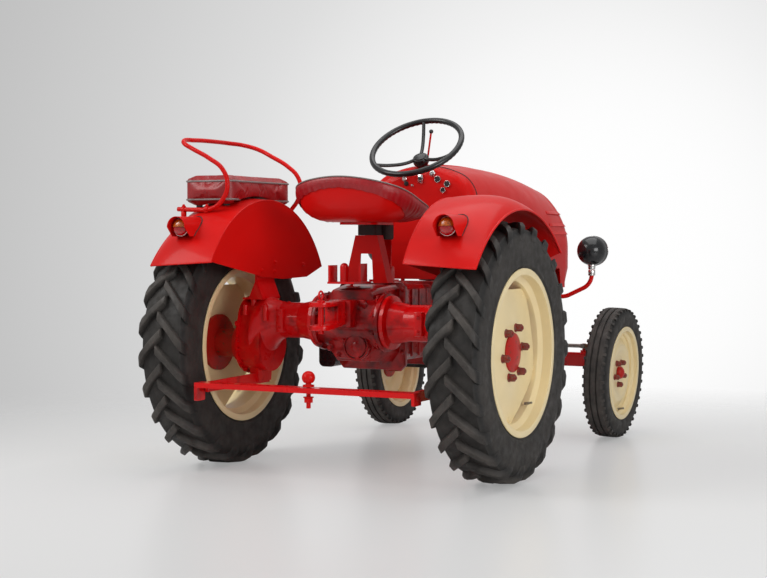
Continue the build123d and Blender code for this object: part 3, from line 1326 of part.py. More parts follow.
def head_lamps():
    with BuildPart() as bowls:
        for side, name in SIDES:
            centre = (HEAD_X, side * HEAD_Y, HEAD_Z)
            with BuildSketch(Plane(origin=centre, x_dir=(1, 0, 0), z_dir=(0, -side, 0))):
                with BuildLine():
                    shell = CenterArc((0, 0), HEAD_RADIUS, 90, 90)
                    Line(shell @ 1, (0, 0))
                    lip = Line(shell @ 0, (34, HEAD_RADIUS))
                    face = Line(lip @ 1, (34, HEAD_RADIUS - 4))
                    pocket = Line(face @ 1, (26, HEAD_RADIUS - 4))
                    floor = Line(pocket @ 1, (26, 0))
                    Line(floor @ 1, (0, 0))
                make_face()
            revolve(axis=Axis(centre, (1, 0, 0)))
            rod((HEAD_X, side * HEAD_Y, HEAD_Z - HEAD_RADIUS - 20), (HEAD_X, side * HEAD_Y, HEAD_Z - 50), 17)
    save(bowls, "head_lamps")
    with BuildPart() as lenses:
        for side, name in SIDES:
            centre = (HEAD_X + 26 + RUNNING_GAP, side * HEAD_Y, HEAD_Z)
            with BuildSketch(Plane(origin=centre, x_dir=(1, 0, 0), z_dir=(0, -side, 0))):
                with BuildLine():
                    back = Line((0, 0), (0, HEAD_RADIUS - 4 - RUNNING_GAP))
                    rim = Line(back @ 1, (5, HEAD_RADIUS - 4 - RUNNING_GAP))
                    top = dome(5, HEAD_RADIUS - 4 - RUNNING_GAP, 18)
                    Line(top @ 1, back @ 0)
                make_face()
            revolve(axis=Axis(centre, (1, 0, 0)))
    save(lenses, "head_lamp_lenses")
    with BuildPart() as stalks:
        for side, name in SIDES:
            foot_y = FRONT_CASTING_HALF + RUNNING_GAP
            collar_z = HEAD_Z - HEAD_RADIUS - 20.5
            route = ((HEAD_X, side * (foot_y + 6), STALK_Z), (HEAD_X, side * 420, STALK_Z),
                     (HEAD_X, side * HEAD_Y, STALK_Z + 60), (HEAD_X, side * HEAD_Y, collar_z))
            bent_rod(route, (90, 70), STALK_RADIUS)
            with BuildSketch(side_plane(side * foot_y)):
                with Locations((HEAD_X, STALK_Z - 15)):
                    RectangleRounded(60, 60, 10)
            extrude(amount=-side * 8)
            rod((HEAD_X, side * HEAD_Y, collar_z - 25.5), (HEAD_X, side * HEAD_Y, collar_z), 15)
    save(stalks, "lamp_stalks")


# Driver's platform and exhaust
PLATE_Z = 462.0
SILENCER_REAR_X = -460.0
SILENCER_Y = 296.0
SILENCER_Z = 420.0


def footplates():
    with BuildPart() as plates:
        for side, name in SIDES:
            with BuildSketch(Plane.XY.offset(PLATE_Z)):
                with Locations((-130, side * 345)):
                    RectangleRounded(220, 175, 20)
            extrude(amount=6)
            bearer_in = ENGINE_HALF + RUNNING_GAP
            with BuildSketch(Plane.XY.offset(PLATE_Z - 18)):
                with Locations((-150, side * (bearer_in + 405) / 2)):
                    Rectangle(40, 405 - bearer_in)
            extrude(amount=18)
    save(plates, "footplates")
    with BuildPart() as pedals:
        for side, name in SIDES:
            elbow = (-215, side * 285, 560)
            pad = (-95, side * 300, 640)
            rod((-215, side * (ENGINE_HALF + RUNNING_GAP), 560), elbow, 10)
            rod(elbow, pad, 9)
            with Locations(Plane(origin=pad, z_dir=(0.75, 0, 0.66))):
                Box(80, 70, 9)
    save(pedals, "pedals")


def silencer():
    with BuildPart() as muffler:
        with BuildSketch(cross_plane(SILENCER_REAR_X)):
            with Locations((SILENCER_Y, SILENCER_Z + 24)):
                RectangleRounded(80, 104, 24)
        extrude(amount=110)
        route = ((SILENCER_REAR_X + 108, SILENCER_Y, SILENCER_Z), (-90, SILENCER_Y, SILENCER_Z),
                 (-90, ENGINE_HALF + RUNNING_GAP, SILENCER_Z))
        bent_rod(route, (60,), 16)
        with BuildSketch(side_plane(GEARBOX_HALF + RUNNING_GAP)):
            with Locations((SILENCER_REAR_X + 60, SILENCER_Z + 35)):
                Rectangle(40, 30)
        extrude(amount=-(SILENCER_Y - 30 - GEARBOX_HALF))
    save(muffler, "silencer")


for side, name in SIDES:
    rear_wheel(side, name)
    front_wheel(side, name)
    knuckle(side, name)
    fender(side, name)
axle_tubes()
drop_cases()
gearbox()
engine()
fan_case()
front_casting()
front_beam()
tie_rod()
drag_link()
drop_arm()
steering_column()
steering_wheel()
bonnet()
dash_cowl()
instruments()
throttle_lever()
fender_brackets()
tail_lamps()
fender_cushion()
hand_rail()
seat()
seat_supports()
hitch_clevis()
lever_bracket()
drawbar()
head_lamps()
footplates()
silencer()
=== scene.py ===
"""The finish of a compact farm tractor with a fender seat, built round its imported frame.

Metres. +X forward, +Y to the driver's left, +Z up.
"""
import json
from math import acos, asin, atan2, cos, hypot, pi, radians, sin, sqrt

import bmesh
import bpy
from bpy.props import FloatProperty, FloatVectorProperty, IntProperty, PointerProperty
from mathutils import Color, Matrix, Vector, noise
from mathutils.bvhtree import BVHTree


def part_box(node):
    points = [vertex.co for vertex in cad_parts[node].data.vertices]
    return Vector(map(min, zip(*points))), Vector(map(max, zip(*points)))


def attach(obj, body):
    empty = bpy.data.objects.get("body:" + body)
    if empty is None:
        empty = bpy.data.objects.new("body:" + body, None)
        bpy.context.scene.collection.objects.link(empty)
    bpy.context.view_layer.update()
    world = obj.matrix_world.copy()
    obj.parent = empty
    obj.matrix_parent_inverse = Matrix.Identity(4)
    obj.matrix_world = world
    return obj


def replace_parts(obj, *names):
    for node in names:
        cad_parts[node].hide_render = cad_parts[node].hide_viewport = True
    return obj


bl_info = {
    "name": "Farm tractor finish",
    "version": (1, 0, 0),
    "blender": (4, 5, 0),
    "location": "View3D > Sidebar > Tractor",
    "description": "Dresses the frame of a compact farm tractor with its tyres, seat, lamps and paint",
    "category": "Object",
}

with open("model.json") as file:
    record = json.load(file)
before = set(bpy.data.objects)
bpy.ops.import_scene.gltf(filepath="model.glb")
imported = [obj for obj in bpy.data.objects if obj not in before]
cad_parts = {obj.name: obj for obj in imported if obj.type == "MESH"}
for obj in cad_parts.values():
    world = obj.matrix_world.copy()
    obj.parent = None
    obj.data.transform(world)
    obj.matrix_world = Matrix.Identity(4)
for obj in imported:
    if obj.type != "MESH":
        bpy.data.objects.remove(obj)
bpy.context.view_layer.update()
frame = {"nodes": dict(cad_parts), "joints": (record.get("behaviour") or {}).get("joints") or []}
JOINTS = {joint["name"]: joint for joint in frame["joints"]}
LEFT, RIGHT = 1, -1
UP = Vector((0, 0, 1))
SIDES = ((LEFT, "left"), (RIGHT, "right"))


def tone(name, description, red, green, blue):
    """A colour setting, given as it looks on a screen."""
    return FloatVectorProperty(name=name, description=description, subtype="COLOR_GAMMA", size=3,
                               min=0, max=1, default=(red / 255, green / 255, blue / 255))


def length(name, description, default):
    """A size setting in metres."""
    return FloatProperty(name=name, description=description, subtype="DISTANCE", unit="LENGTH",
                         default=default, min=0.0)


class TractorColours(bpy.types.PropertyGroup):
    enamel: tone("Enamel", "Gloss paint of the fenders, bonnet and rail", 208, 16, 13)
    casting: tone("Castings", "Thick paint on the gearbox and axle castings", 212, 5, 9)
    cream: tone("Wheel cream", "Paint of the rims and wheel discs", 236, 215, 166)
    rubber: tone("Rubber", "Worn tyre rubber", 54, 50, 47)
    hub: tone("Hub red", "Rubbed red paint of the wheel hubs", 176, 28, 20)
    vinyl: tone("Cushion vinyl", "Imitation leather of the fender cushion", 150, 14, 20)
    cover: tone("Seat cover", "Imitation leather over the driver's seat", 158, 14, 24)
    iron: tone("Engine iron", "Bare cast iron of the engine", 66, 64, 62)
    lamp_black: tone("Lamp black", "Enamel of the head lamps and silencer", 26, 26, 28)
    amber: tone("Amber lens", "Upper half of a tail lamp", 176, 84, 12)
    lens_red: tone("Red lens", "Lower half of a tail lamp", 160, 4, 12)


class TractorTyres(bpy.types.PropertyGroup):
    lugs: IntProperty(name="Rear lugs", description="Tread bars on each half of a rear tyre",
                      default=23, min=8, max=40)
    lug_round: length("Lug rounding", "Rounding along the edges of a tread bar", 0.0035)
    blocks: IntProperty(name="Shoulder blocks", description="Teeth round each shoulder of a front tyre",
                        default=44, min=12, max=90)
    groove_deep: length("Rib groove", "Depth of the grooves between the front ribs", 0.007)


class TractorTrim(bpy.types.PropertyGroup):
    bolt: length("Bolt size", "Width across a usual bolt head", 0.018)
    piping: length("Piping", "Radius of the cushion's edge piping", 0.0042)
    pleats: IntProperty(name="Pleats", description="Gathers round the hem of the seat cover",
                        default=64, min=10, max=200)
    swell: length("Cushion swell", "How far the cushion's cloth may swell under its filling", 0.014)


class TractorStudio(bpy.types.PropertyGroup):
    floor_radius: length("Floor radius", "Where the floor has faded into the backdrop", 7.0)
    key_power: FloatProperty(name="Key light", description="Power of the main soft light",
                             unit="POWER", default=190.0, min=0)
    top_power: FloatProperty(name="Top light", description="Power of the overhead soft light",
                             unit="POWER", default=110.0, min=0)
    fill_power: FloatProperty(name="Fill light", description="Power of the low fill light",
                              unit="POWER", default=120.0, min=0)


def colours():
    return bpy.context.scene.tractor_colours


def linear(colour):
    """A screen colour as the shader wants it, with full cover."""
    return (*Color(colour).from_srgb_to_scene_linear(), 1.0)


def shade(colour, factor):
    """A lighter or darker neighbour of a screen colour."""
    return tuple(min(1.0, part * factor) for part in colour)


def feed(tree, socket, value):
    """Gives a socket its value, or wires another socket to it."""
    if isinstance(value, bpy.types.NodeSocket):
        tree.links.new(value, socket)
    else:
        socket.default_value = value


def shader_node(tree, kind, inputs=None, **settings):
    """A shader node with its settings, and its inputs fed by name or number."""
    node = tree.nodes.new(kind)
    for name, value in settings.items():
        setattr(node, name, value)
    for key, value in (inputs or {}).items():
        feed(tree, node.inputs[key], value)
    return node


class Finish:
    """One surface finish: a few texture nodes round a single shader, on object coordinates."""

    def __init__(self, name, roughness, metallic=0.0, **sockets):
        self.material = bpy.data.materials.new(name)
        self.material.use_nodes = True
        self.tree = self.material.node_tree
        self.shader = self.tree.nodes["Principled BSDF"]
        self.shader.inputs["Roughness"].default_value = roughness
        self.shader.inputs["Metallic"].default_value = metallic
        for socket, value in sockets.items():
            self.shader.inputs[socket.replace("_", " ")].default_value = value
        self.place = self.node("ShaderNodeTexCoord").outputs["Object"]
        self.normal = None

    def node(self, kind, inputs=None, **settings):
        return shader_node(self.tree, kind, inputs, **settings)

    def noise(self, scale, detail=4.0, roughness=0.55, stretch=None):
        place = self.place
        if stretch:
            place = self.node("ShaderNodeMapping", {"Scale": stretch, "Vector": place}).outputs["Vector"]
        return self.node("ShaderNodeTexNoise", {"Scale": scale, "Detail": detail, "Roughness": roughness,
                                                "Vector": place}).outputs["Fac"]

    def cells(self, scale):
        return self.node("ShaderNodeTexVoronoi", {"Scale": scale, "Vector": self.place}).outputs["Distance"]

    def ramp(self, value, low, high, first=0.0, last=1.0):
        """A share of the way from low to high, turned into a number from first to last."""
        return self.node("ShaderNodeMapRange", {"From Min": low, "From Max": high, "To Min": first,
                                                "To Max": last, "Value": value}).outputs["Result"]

    def mix(self, share, first, second):
        colours = [colour if isinstance(colour, bpy.types.NodeSocket) else linear(colour)
                   for colour in (first, second)]
        return self.node("ShaderNodeMix", {"Factor": share, 6: colours[0], 7: colours[1]},
                         data_type="RGBA").outputs[2]

    def colour(self, share, first, second):
        """Paints the surface with two colours, mixed by a share."""
        feed(self.tree, self.shader.inputs["Base Color"], self.mix(share, first, second))

    def gloss(self, value, low, high, first, last):
        """Roughness from first to last over a share of the way from low to high."""
        feed(self.tree, self.shader.inputs["Roughness"], self.ramp(value, low, high, first, last))

    def bump(self, height, strength, depth):
        """Relief of the given depth in metres, over any relief made before it."""
        node = self.node("ShaderNodeBump", {"Strength": strength, "Distance": depth, "Height": height})
        if self.normal:
            feed(self.tree, node.inputs["Normal"], self.normal)
        self.normal = node.outputs["Normal"]
        feed(self.tree, self.shader.inputs["Normal"], self.normal)

    def relief(self, grain, strength, depth):
        self.bump(self.noise(*grain), strength, depth)

    def reach(self, centre, scale=(1, 1, 1)):
        """How far a point stands from a centre, along the axes whose scale is 1."""
        back = tuple(-part * kept for part, kept in zip(centre, scale))
        moved = self.node("ShaderNodeMapping", {"Scale": scale, "Location": back, "Vector": self.place})
        return self.node("ShaderNodeVectorMath", {0: moved.outputs["Vector"]},
                         operation="LENGTH").outputs["Value"]


def clouded(name, roughness, grain, low, high, **sockets):
    """A finish whose colour drifts between two near ones."""
    skin = Finish(name, roughness, **sockets)
    skin.colour(skin.noise(*grain), low, high)
    return skin


def enamel():
    """Gloss paint with a slight orange peel, its gloss wandering at random."""
    red = colours().enamel
    paint = Finish("enamel_red", 0.42, Coat_Weight=0.14, Coat_Roughness=0.12, Specular_IOR_Level=0.1)
    paint.colour(paint.noise(3.5, 5.0), shade(red, 0.93), shade(red, 1.06))
    paint.gloss(paint.noise(9.0), 0.3, 0.75, 0.36, 0.5)
    paint.relief((190.0, 2.0), 0.1, 0.0005)
    paint.relief((9.0, 2.0), 0.08, 0.004)
    return paint.material


def casting(name, depth, stain_and_shade_level):
    """Thick gloss paint brushed over rough castings, stained with oil where a noise passes a level; a depth
    below one and a lower level give a darker copy of it, as painted shade.
    """
    red = shade(colours().casting, depth)
    paint = Finish(name, 0.3, Coat_Weight=0.4, Coat_Roughness=0.06, Specular_IOR_Level=0.15)
    grime_and_shade = paint.ramp(paint.noise(11.0, 7.0), stain_and_shade_level, stain_and_shade_level + 0.24)
    paint.colour(grime_and_shade, red, shade(red, 0.4))
    paint.gloss(paint.noise(22.0), 0.3, 0.7, 0.24, 0.45)
    paint.relief((26.0, 4.0), 0.5, 0.005)
    paint.relief((110.0, 4.0), 0.35, 0.0014)
    return paint.material


def cream():
    """Wheel enamel with small chips down to rust and a film of dust."""
    base = colours().cream
    paint = Finish("wheel_cream", 0.36, Coat_Weight=0.35, Coat_Roughness=0.16)
    dusty = paint.mix(paint.noise(7.0, 6.0), shade(base, 0.94), shade(base, 1.03))
    chips = paint.ramp(paint.noise(64.0, 8.0, 0.7), 0.70, 0.73)
    paint.colour(chips, dusty, (0.42, 0.24, 0.13))
    paint.gloss(paint.noise(16.0), 0.3, 0.75, 0.3, 0.5)
    paint.relief((120.0, 3.0), 0.16, 0.0007)
    return paint.material


def rubber(name, axle, groove, top):
    """Worn tyre rubber: dusty on the tread bars, darkened between them as painted shade, dark on the walls.
    """
    base = colours().rubber
    skin = Finish(name, 0.66, Specular_IOR_Level=0.4)
    reach = skin.reach(JOINTS[axle]["pos_m"], (1, 0, 1))
    dust = skin.ramp(skin.noise(13.0, 8.0, 0.65), 0.35, 0.75)
    bars = skin.mix(dust, shade(base, 0.85), shade(base, 1.5))
    # Painted shade: below the groove radius, between the bars, the rubber is darkened to four tenths of its
    # colour
    tread = skin.mix(skin.ramp(reach, groove, top), shade(base, 0.4), bars)
    walls = skin.mix(dust, shade(base, 0.62), shade(base, 1.02))
    skin.colour(skin.ramp(reach, groove - 0.022, groove - 0.006), walls, tread)
    skin.gloss(skin.noise(30.0), 0.3, 0.7, 0.5, 0.8)
    skin.relief((260.0, 5.0, 0.6), 0.5, 0.0009)
    skin.relief((40.0, 3.0), 0.25, 0.0015)
    return skin.material


def hub_paint():
    """Red hub paint rubbed through to brown at its high spots."""
    base = colours().hub
    paint = Finish("hub_red", 0.42, Coat_Weight=0.15, Coat_Roughness=0.2, Specular_IOR_Level=0.2)
    worn = paint.ramp(paint.noise(48.0, 7.0, 0.7), 0.56, 0.64)
    paint.colour(worn, base, (0.36, 0.2, 0.13))
    paint.relief((150.0, 4.0), 0.35, 0.001)
    return paint.material


def rusty_steel():
    """Nuts and studs with old paint and rust."""
    metal = Finish("rusty_steel", 0.62, metallic=0.35)
    patch = metal.ramp(metal.noise(120.0, 6.0, 0.7), 0.4, 0.62)
    metal.colour(patch, (0.56, 0.13, 0.1), (0.45, 0.34, 0.31))
    metal.relief((400.0, 4.0), 0.5, 0.0008)
    return metal.material


def vinyl(name, base, grain):
    """Imitation leather: fine pebbled grain, soft sheen, darker and lighter at random."""
    skin = Finish(name, 0.4, Specular_IOR_Level=0.5, Coat_Weight=0.12, Coat_Roughness=0.3)
    skin.colour(skin.noise(8.0, 6.0), shade(base, 0.82), shade(base, 1.14))
    skin.gloss(skin.noise(18.0, 5.0), 0.3, 0.7, 0.32, 0.52)
    skin.bump(skin.cells(grain), 0.28, 0.0007)
    skin.relief((34.0, 5.0), 0.3, 0.0022)
    return skin.material


def iron():
    """Dull bare iron with oil and heat stains."""
    base = colours().iron
    metal = Finish("engine_iron", 0.55, metallic=0.55)
    metal.colour(metal.ramp(metal.noise(14.0, 7.0), 0.35, 0.7), shade(base, 0.6), shade(base, 1.3))
    metal.relief((160.0, 5.0), 0.45, 0.0012)
    return metal.material


def steel():
    """Dull bright steel with fine scratches."""
    metal = Finish("bare_steel", 0.36, metallic=0.9)
    streak = metal.noise(90.0, 5.0, 0.6, stretch=(1.0, 1.0, 0.15))
    metal.colour(streak, (0.45, 0.43, 0.41), (0.66, 0.64, 0.62))
    metal.gloss(streak, 0.3, 0.7, 0.26, 0.5)
    metal.relief((240.0, 3.0), 0.2, 0.0005)
    return metal.material


def chrome():
    """Plated trim with a faint haze."""
    metal = Finish("plated_chrome", 0.12, metallic=1.0)
    metal.colour(metal.noise(40.0), (0.8, 0.79, 0.77), (0.9, 0.9, 0.9))
    metal.gloss(metal.noise(60.0, 5.0), 0.3, 0.7, 0.08, 0.22)
    return metal.material


def black_gloss(name, base, roughness, peel):
    """Black enamel or hard plastic with a slightly wavy gloss."""
    paint = Finish(name, roughness, Coat_Weight=0.3, Coat_Roughness=0.1, Specular_IOR_Level=0.35)
    paint.colour(paint.noise(12.0, 5.0), shade(base, 0.8), shade(base, 1.25))
    paint.gloss(paint.noise(25.0), 0.3, 0.7, roughness * 0.8, roughness * 1.5)
    paint.relief((150.0, 3.0), peel, 0.0006)
    return paint.material


def soft_black():
    """Moulded rubber of buffers and edgings."""
    skin = clouded("buffer_rubber", 0.7, (40.0, 6.0), (0.08, 0.08, 0.08), (0.16, 0.155, 0.15))
    skin.relief((300.0, 4.0), 0.4, 0.0007)
    return skin.material


def glass(name, tint, roughness):
    """Clear or tinted moulded lens glass with faint ripples."""
    lens = Finish(name, roughness, Transmission_Weight=0.85, IOR=1.47)
    lens.colour(lens.noise(50.0), shade(tint, 0.96), shade(tint, 1.0))
    lens.relief((160.0, 2.0), 0.15, 0.0008)
    return lens.material


def lens_plastic(name, tint):
    """A coloured plastic lens with a deep gloss."""
    lens = Finish(name, 0.12, Coat_Weight=0.5, Coat_Roughness=0.05)
    lens.colour(lens.cells(160.0), shade(tint, 0.75), shade(tint, 1.2))
    lens.bump(lens.cells(230.0), 0.5, 0.0012)
    return lens.material


# Each finish: how it is made, and the record's slot that it stands for
FINISH_MAKERS = {
    "enamel": (enamel, "body_red"),
    "casting": (lambda: casting("casting_red", 1.0, 0.56), "body_red"),
    # A darker copy of the casting paint with more of its dark patches: painted shade on the gearbox and fan
    # case, as well as oil stain
    "casting_painted_shade": (lambda: casting("casting_red_painted_shade", 0.82, 0.42), "body_red"),
    "cream": (cream, "wheel_cream"),
    # A tyre's two radii bound the painted shade between its tread bars
    "rear_rubber": (lambda: rubber("rear_tyre_rubber", "rear_axle_left", 0.466, 0.500), "tyre_rubber"),
    "front_rubber": (lambda: rubber("front_tyre_rubber", "front_axle_left", 0.292, 0.304), "tyre_rubber"),
    "hub": (hub_paint, "hub_red"),
    "rust": (rusty_steel, "hub_red"),
    "vinyl": (lambda: vinyl("cushion_vinyl", colours().vinyl, 900.0), "vinyl_red"),
    "cover": (lambda: vinyl("cover_vinyl", colours().cover, 900.0), "vinyl_red"),
    "piping": (lambda: vinyl("piping_grey", (0.5, 0.46, 0.45), 1200.0), "vinyl_red"),
    "iron": (iron, "engine_iron"),
    "steel": (steel, "bare_steel"),
    "chrome": (chrome, "bare_steel"),
    "grip": (lambda: black_gloss("wheel_grip", (0.055, 0.055, 0.06), 0.34, 0.2), "wheel_black"),
    "lamp_black": (lambda: black_gloss("lamp_black", colours().lamp_black, 0.2, 0.1), "black_enamel"),
    "buffer": (soft_black, "buffer_rubber"),
    "dial": (lambda: clouded("dial_face", 0.4, (60.0,), (0.06, 0.06, 0.065), (0.12, 0.12, 0.125)).material,
             "dial_black"),
    "plate": (lambda: clouded("plate_alloy", 0.4, (120.0,), (0.42, 0.42, 0.42), (0.6, 0.6, 0.6),
                              metallic=0.8).material, "bare_steel"),
    "glass": (lambda: glass("lamp_glass", (0.93, 0.95, 0.95), 0.06), "lamp_glass"),
    "amber": (lambda: lens_plastic("amber_lens", colours().amber), "tail_lens"),
    "lens_red": (lambda: lens_plastic("red_lens", colours().lens_red), "tail_lens"),
}
MADE = {}


def finish(key):
    """The material of a finish, made once."""
    if key not in MADE:
        MADE[key] = FINISH_MAKERS[key][0]()
    return MADE[key]


# Finish of each piece of the frame that shows as it is
NODE_FINISHES = {
    "enamel": ("fender_left", "fender_right", "bonnet", "dash_cowl", "tail_lamp_hoods", "hand_rail",
               "lamp_stalks", "seat_tower", "throttle_lever"),
    # The gearbox and fan case take the darker copy of the casting paint, which paints their shade
    "casting_painted_shade": ("gearbox", "fan_case"),
    "casting": ("axle_tubes", "drop_cases", "front_beam", "knuckle_left", "knuckle_right",
                "front_casting", "drawbar", "hitch_clevis", "lever_bracket", "fender_brackets",
                "steering_column", "drop_arm", "seat_arm", "ball_hitch", "hitch_pin"),
    "cream": ("rear_rim_left", "rear_rim_right", "front_rim_left", "front_rim_right"),
    "hub": ("rear_hub_left", "rear_hub_right", "front_hub_left", "front_hub_right"),
    "rear_rubber": ("rear_tyre_left", "rear_tyre_right"),
    "front_rubber": ("front_tyre_left", "front_tyre_right"),
    "iron": ("engine",),
    "steel": ("tie_rod", "drag_link", "pedals", "footplates"),
    "grip": ("steering_wheel",),
    "vinyl": ("fender_cushion",),
    "cover": ("seat_cover",),
    "lamp_black": ("head_lamps", "silencer"),
    "buffer": ("seat_buffer",),
    "dial": ("instruments",),
    "glass": ("head_lamp_lenses",),
    "amber": ("tail_lamps",),
}


def link_piece(name, mesh, key, body):
    """A finished mesh as a piece of the tractor that moves with a body."""
    mesh.materials.append(finish(key))
    piece = bpy.data.objects.new(name, mesh)
    bpy.context.scene.collection.objects.link(piece)
    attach(piece, body)
    return piece


def smooth(mesh, angle):
    """Smooth shading with sharp edges kept where the faces turn by more than the angle."""
    for face in mesh.polygons:
        face.use_smooth = True
    mesh.set_sharp_from_angle(angle=radians(angle))


def outward(bm):
    bmesh.ops.recalc_face_normals(bm, faces=bm.faces[:])
    return bm


def merged(bm, distance):
    bmesh.ops.remove_doubles(bm, verts=bm.verts[:], dist=distance)
    return bm


def as_mesh(name, bm):
    """The built shape as a mesh."""
    mesh = bpy.data.meshes.new(name)
    bm.to_mesh(mesh)
    bm.free()
    return mesh


def close_mesh(name, bm, angle=34.0):
    """The built shape as a mesh, its doubles merged and its faces outward."""
    mesh = as_mesh(name, outward(merged(bm, 0.00002)))
    smooth(mesh, angle)
    return mesh


def add_piece(name, bm, key, angle=34.0, body="chassis"):
    return link_piece(name, close_mesh(name, bm, angle), key, body)


def sided(side, *shapes):
    """The same shapes, mirrored where they are for the right-hand side."""
    for bm in shapes:
        if side == RIGHT:
            bmesh.ops.scale(bm, vec=(1, -1, 1), verts=bm.verts[:])


def placed(bm, matrix):
    bmesh.ops.transform(bm, matrix=matrix, verts=bm.verts[:])
    return bm


def turns(count, start=0.0):
    """So many turns, evenly spread round a circle."""
    return [start + 2 * pi * number / count for number in range(count)]


def sweep(count, start, span):
    """The turns at the ends of so many equal steps of an arc."""
    return [start + span * number / count for number in range(count + 1)]


def ray(turn):
    return Vector((cos(turn), sin(turn), 0))


def rounded(bm, geom, offset, segments=2, affect="EDGES"):
    """Rounds edges or corners of a shape."""
    bmesh.ops.bevel(bm, geom=geom, offset=offset, offset_type="OFFSET", segments=segments,
                    profile=0.5, affect=affect, material=-1, clamp_overlap=True)
    return bm


def spun(bm, geom, steps):
    """A full turn about Z, closed on itself."""
    bmesh.ops.spin(bm, geom=geom, cent=(0, 0, 0), axis=(0, 0, 1), dvec=(0, 0, 0),
                   angle=2 * pi, steps=steps, use_merge=True, use_duplicate=False)
    return merged(bm, 0.00001)


def sheet_of(bm, thickness):
    """Gives a skin its sheet thickness."""
    outward(bm)
    bmesh.ops.solidify(bm, geom=bm.faces[:], thickness=thickness)
    return bm


def trimmed(bm, place, normal):
    """Takes away what lies beyond a plane, and returns what lies in it."""
    return bmesh.ops.bisect_plane(bm, geom=bm.verts[:] + bm.edges[:] + bm.faces[:],
                                  plane_co=place, plane_no=normal, clear_outer=True)["geom_cut"]


def wheel_place(joint):
    """From a wheel's own frame, with its axle outward along Z, to the left-hand wheel's place."""
    out = Vector(joint["axis"])
    across = Vector((1, 0, 0))
    turned = Matrix((across, out.cross(across), out)).transposed().to_4x4()
    return Matrix.Translation(joint["pos_m"]) @ turned


def facing(place, direction):
    """A matrix at a place whose Z runs along the direction."""
    return Matrix.Translation(place) @ Vector(direction).to_track_quat("Z", "Y").to_matrix().to_4x4()


def section_edges(bm, points, rounding=0.0, segments=3):
    """A closed section in the XZ plane from (height, radius) points, its corners rounded."""
    verts = [bm.verts.new((radius, 0, height)) for height, radius in points]
    face = bm.faces.new(verts)
    if rounding:
        rounded(bm, verts, rounding, segments, "VERTICES")
        face = bm.faces[:][-1]
    edges = face.edges[:]
    bmesh.ops.delete(bm, geom=[face], context="FACES_ONLY")
    return edges


def lathe(points, steps=96, rounding=0.0, segments=3):
    """A closed section turned about Z."""
    part = bmesh.new()
    edges = section_edges(part, points, rounding, segments)
    verts = list(dict.fromkeys(vert for edge in edges for vert in edge.verts))
    return join(bmesh.new(), spun(part, verts + edges, steps))


def join(bm, *parts):
    """Adds shapes to another."""
    for part in parts:
        mesh = as_mesh("joined", outward(part))
        bm.from_mesh(mesh)
        bpy.data.meshes.remove(mesh)
    return bm


def loft(bm, rings, capped=True):
    """Bridges a row of rings of as many corners each, with flat ends."""
    loops = []
    for ring in rings:
        verts = [bm.verts.new(point) for point in ring]
        loops.append([bm.edges.new((verts[i - 1], verts[i])) for i in range(len(verts))])
    for first, second in zip(loops, loops[1:]):
        bmesh.ops.bridge_loops(bm, edges=first + second)
    if capped:
        for loop in (loops[0], loops[-1]):
            bmesh.ops.contextual_create(bm, geom=loop)
    return bm


def block(bm, low, high, rounding=0.0, segments=2):
    """A box between two corners with rounded edges."""
    low, high = Vector(low), Vector(high)
    part = bmesh.new()
    size = high - low
    matrix = Matrix.Translation((low + high) / 2) @ Matrix.Diagonal((*size, 1.0))
    bmesh.ops.create_cube(part, size=1.0, matrix=matrix)
    if rounding:
        rounded(part, part.edges[:], rounding, segments)
    return join(bm, part)


def drum(bm, place, direction, radius, height, steps=24, top=None, rounding=0.0):
    """A round post standing on a place, its rim rounded."""
    part = bmesh.new()
    matrix = facing(place, direction) @ Matrix.Translation((0, 0, height / 2))
    bmesh.ops.create_cone(part, cap_ends=True, segments=steps, radius1=radius,
                          radius2=radius if top is None else top, depth=height, matrix=matrix)
    if rounding:
        rims = [edge for edge in part.edges if len(edge.link_faces) == 2
                and max(len(face.verts) for face in edge.link_faces) > 4]
        rounded(part, rims, rounding)
    return join(bm, part)


def bolt(bm, place, direction, size=None, washer=True):
    """A hexagon bolt head on its washer."""
    size = size or bpy.context.scene.tractor_trim.bolt
    direction = Vector(direction).normalized()
    place = Vector(place) - direction * 0.001
    if washer:
        drum(bm, place, direction, size * 0.72, 0.0035, steps=16, rounding=0.0006)
    drum(bm, place + direction * 0.0025, direction, size * 0.56, size * 0.5, steps=6, rounding=0.001)
    drum(bm, place + direction * (0.0025 + size * 0.5), direction, size * 0.3, size * 0.16, steps=10)
    return bm


def tube_mesh(name, points, radius, cyclic=False, steps=6, resolution=10):
    """A round tube along a smooth line through the points."""
    curve = bpy.data.curves.new(name, "CURVE")
    curve.dimensions = "3D"
    curve.bevel_depth = radius
    curve.bevel_resolution = steps
    curve.use_fill_caps = not cyclic
    curve.resolution_u = resolution
    spline = curve.splines.new("BEZIER")
    spline.bezier_points.add(len(points) - 1)
    for point, place in zip(spline.bezier_points, points):
        point.co = place
        point.handle_left_type = point.handle_right_type = "AUTO"
    spline.use_cyclic_u = cyclic
    holder = bpy.data.objects.new(name, curve)
    bpy.context.scene.collection.objects.link(holder)
    bpy.context.view_layer.update()
    depsgraph = bpy.context.evaluated_depsgraph_get()
    mesh = bpy.data.meshes.new_from_object(holder.evaluated_get(depsgraph))
    mesh.name = name
    bpy.data.objects.remove(holder)
    bpy.data.curves.remove(curve)
    bm = bmesh.new()
    bm.from_mesh(mesh)
    bpy.data.meshes.remove(mesh)
    return bm


# Rear tyre section and tread bars, in the wheel's own frame: offset outward, radius
REAR_WALL = ((0.0947, 0.3055), (0.0947, 0.326), (0.0985, 0.334), (0.1035, 0.338), (0.1035, 0.347),
             (0.1005, 0.352), (0.1055, 0.388), (0.104, 0.430), (0.098, 0.458), (0.086, 0.474), (0.045, 0.480))
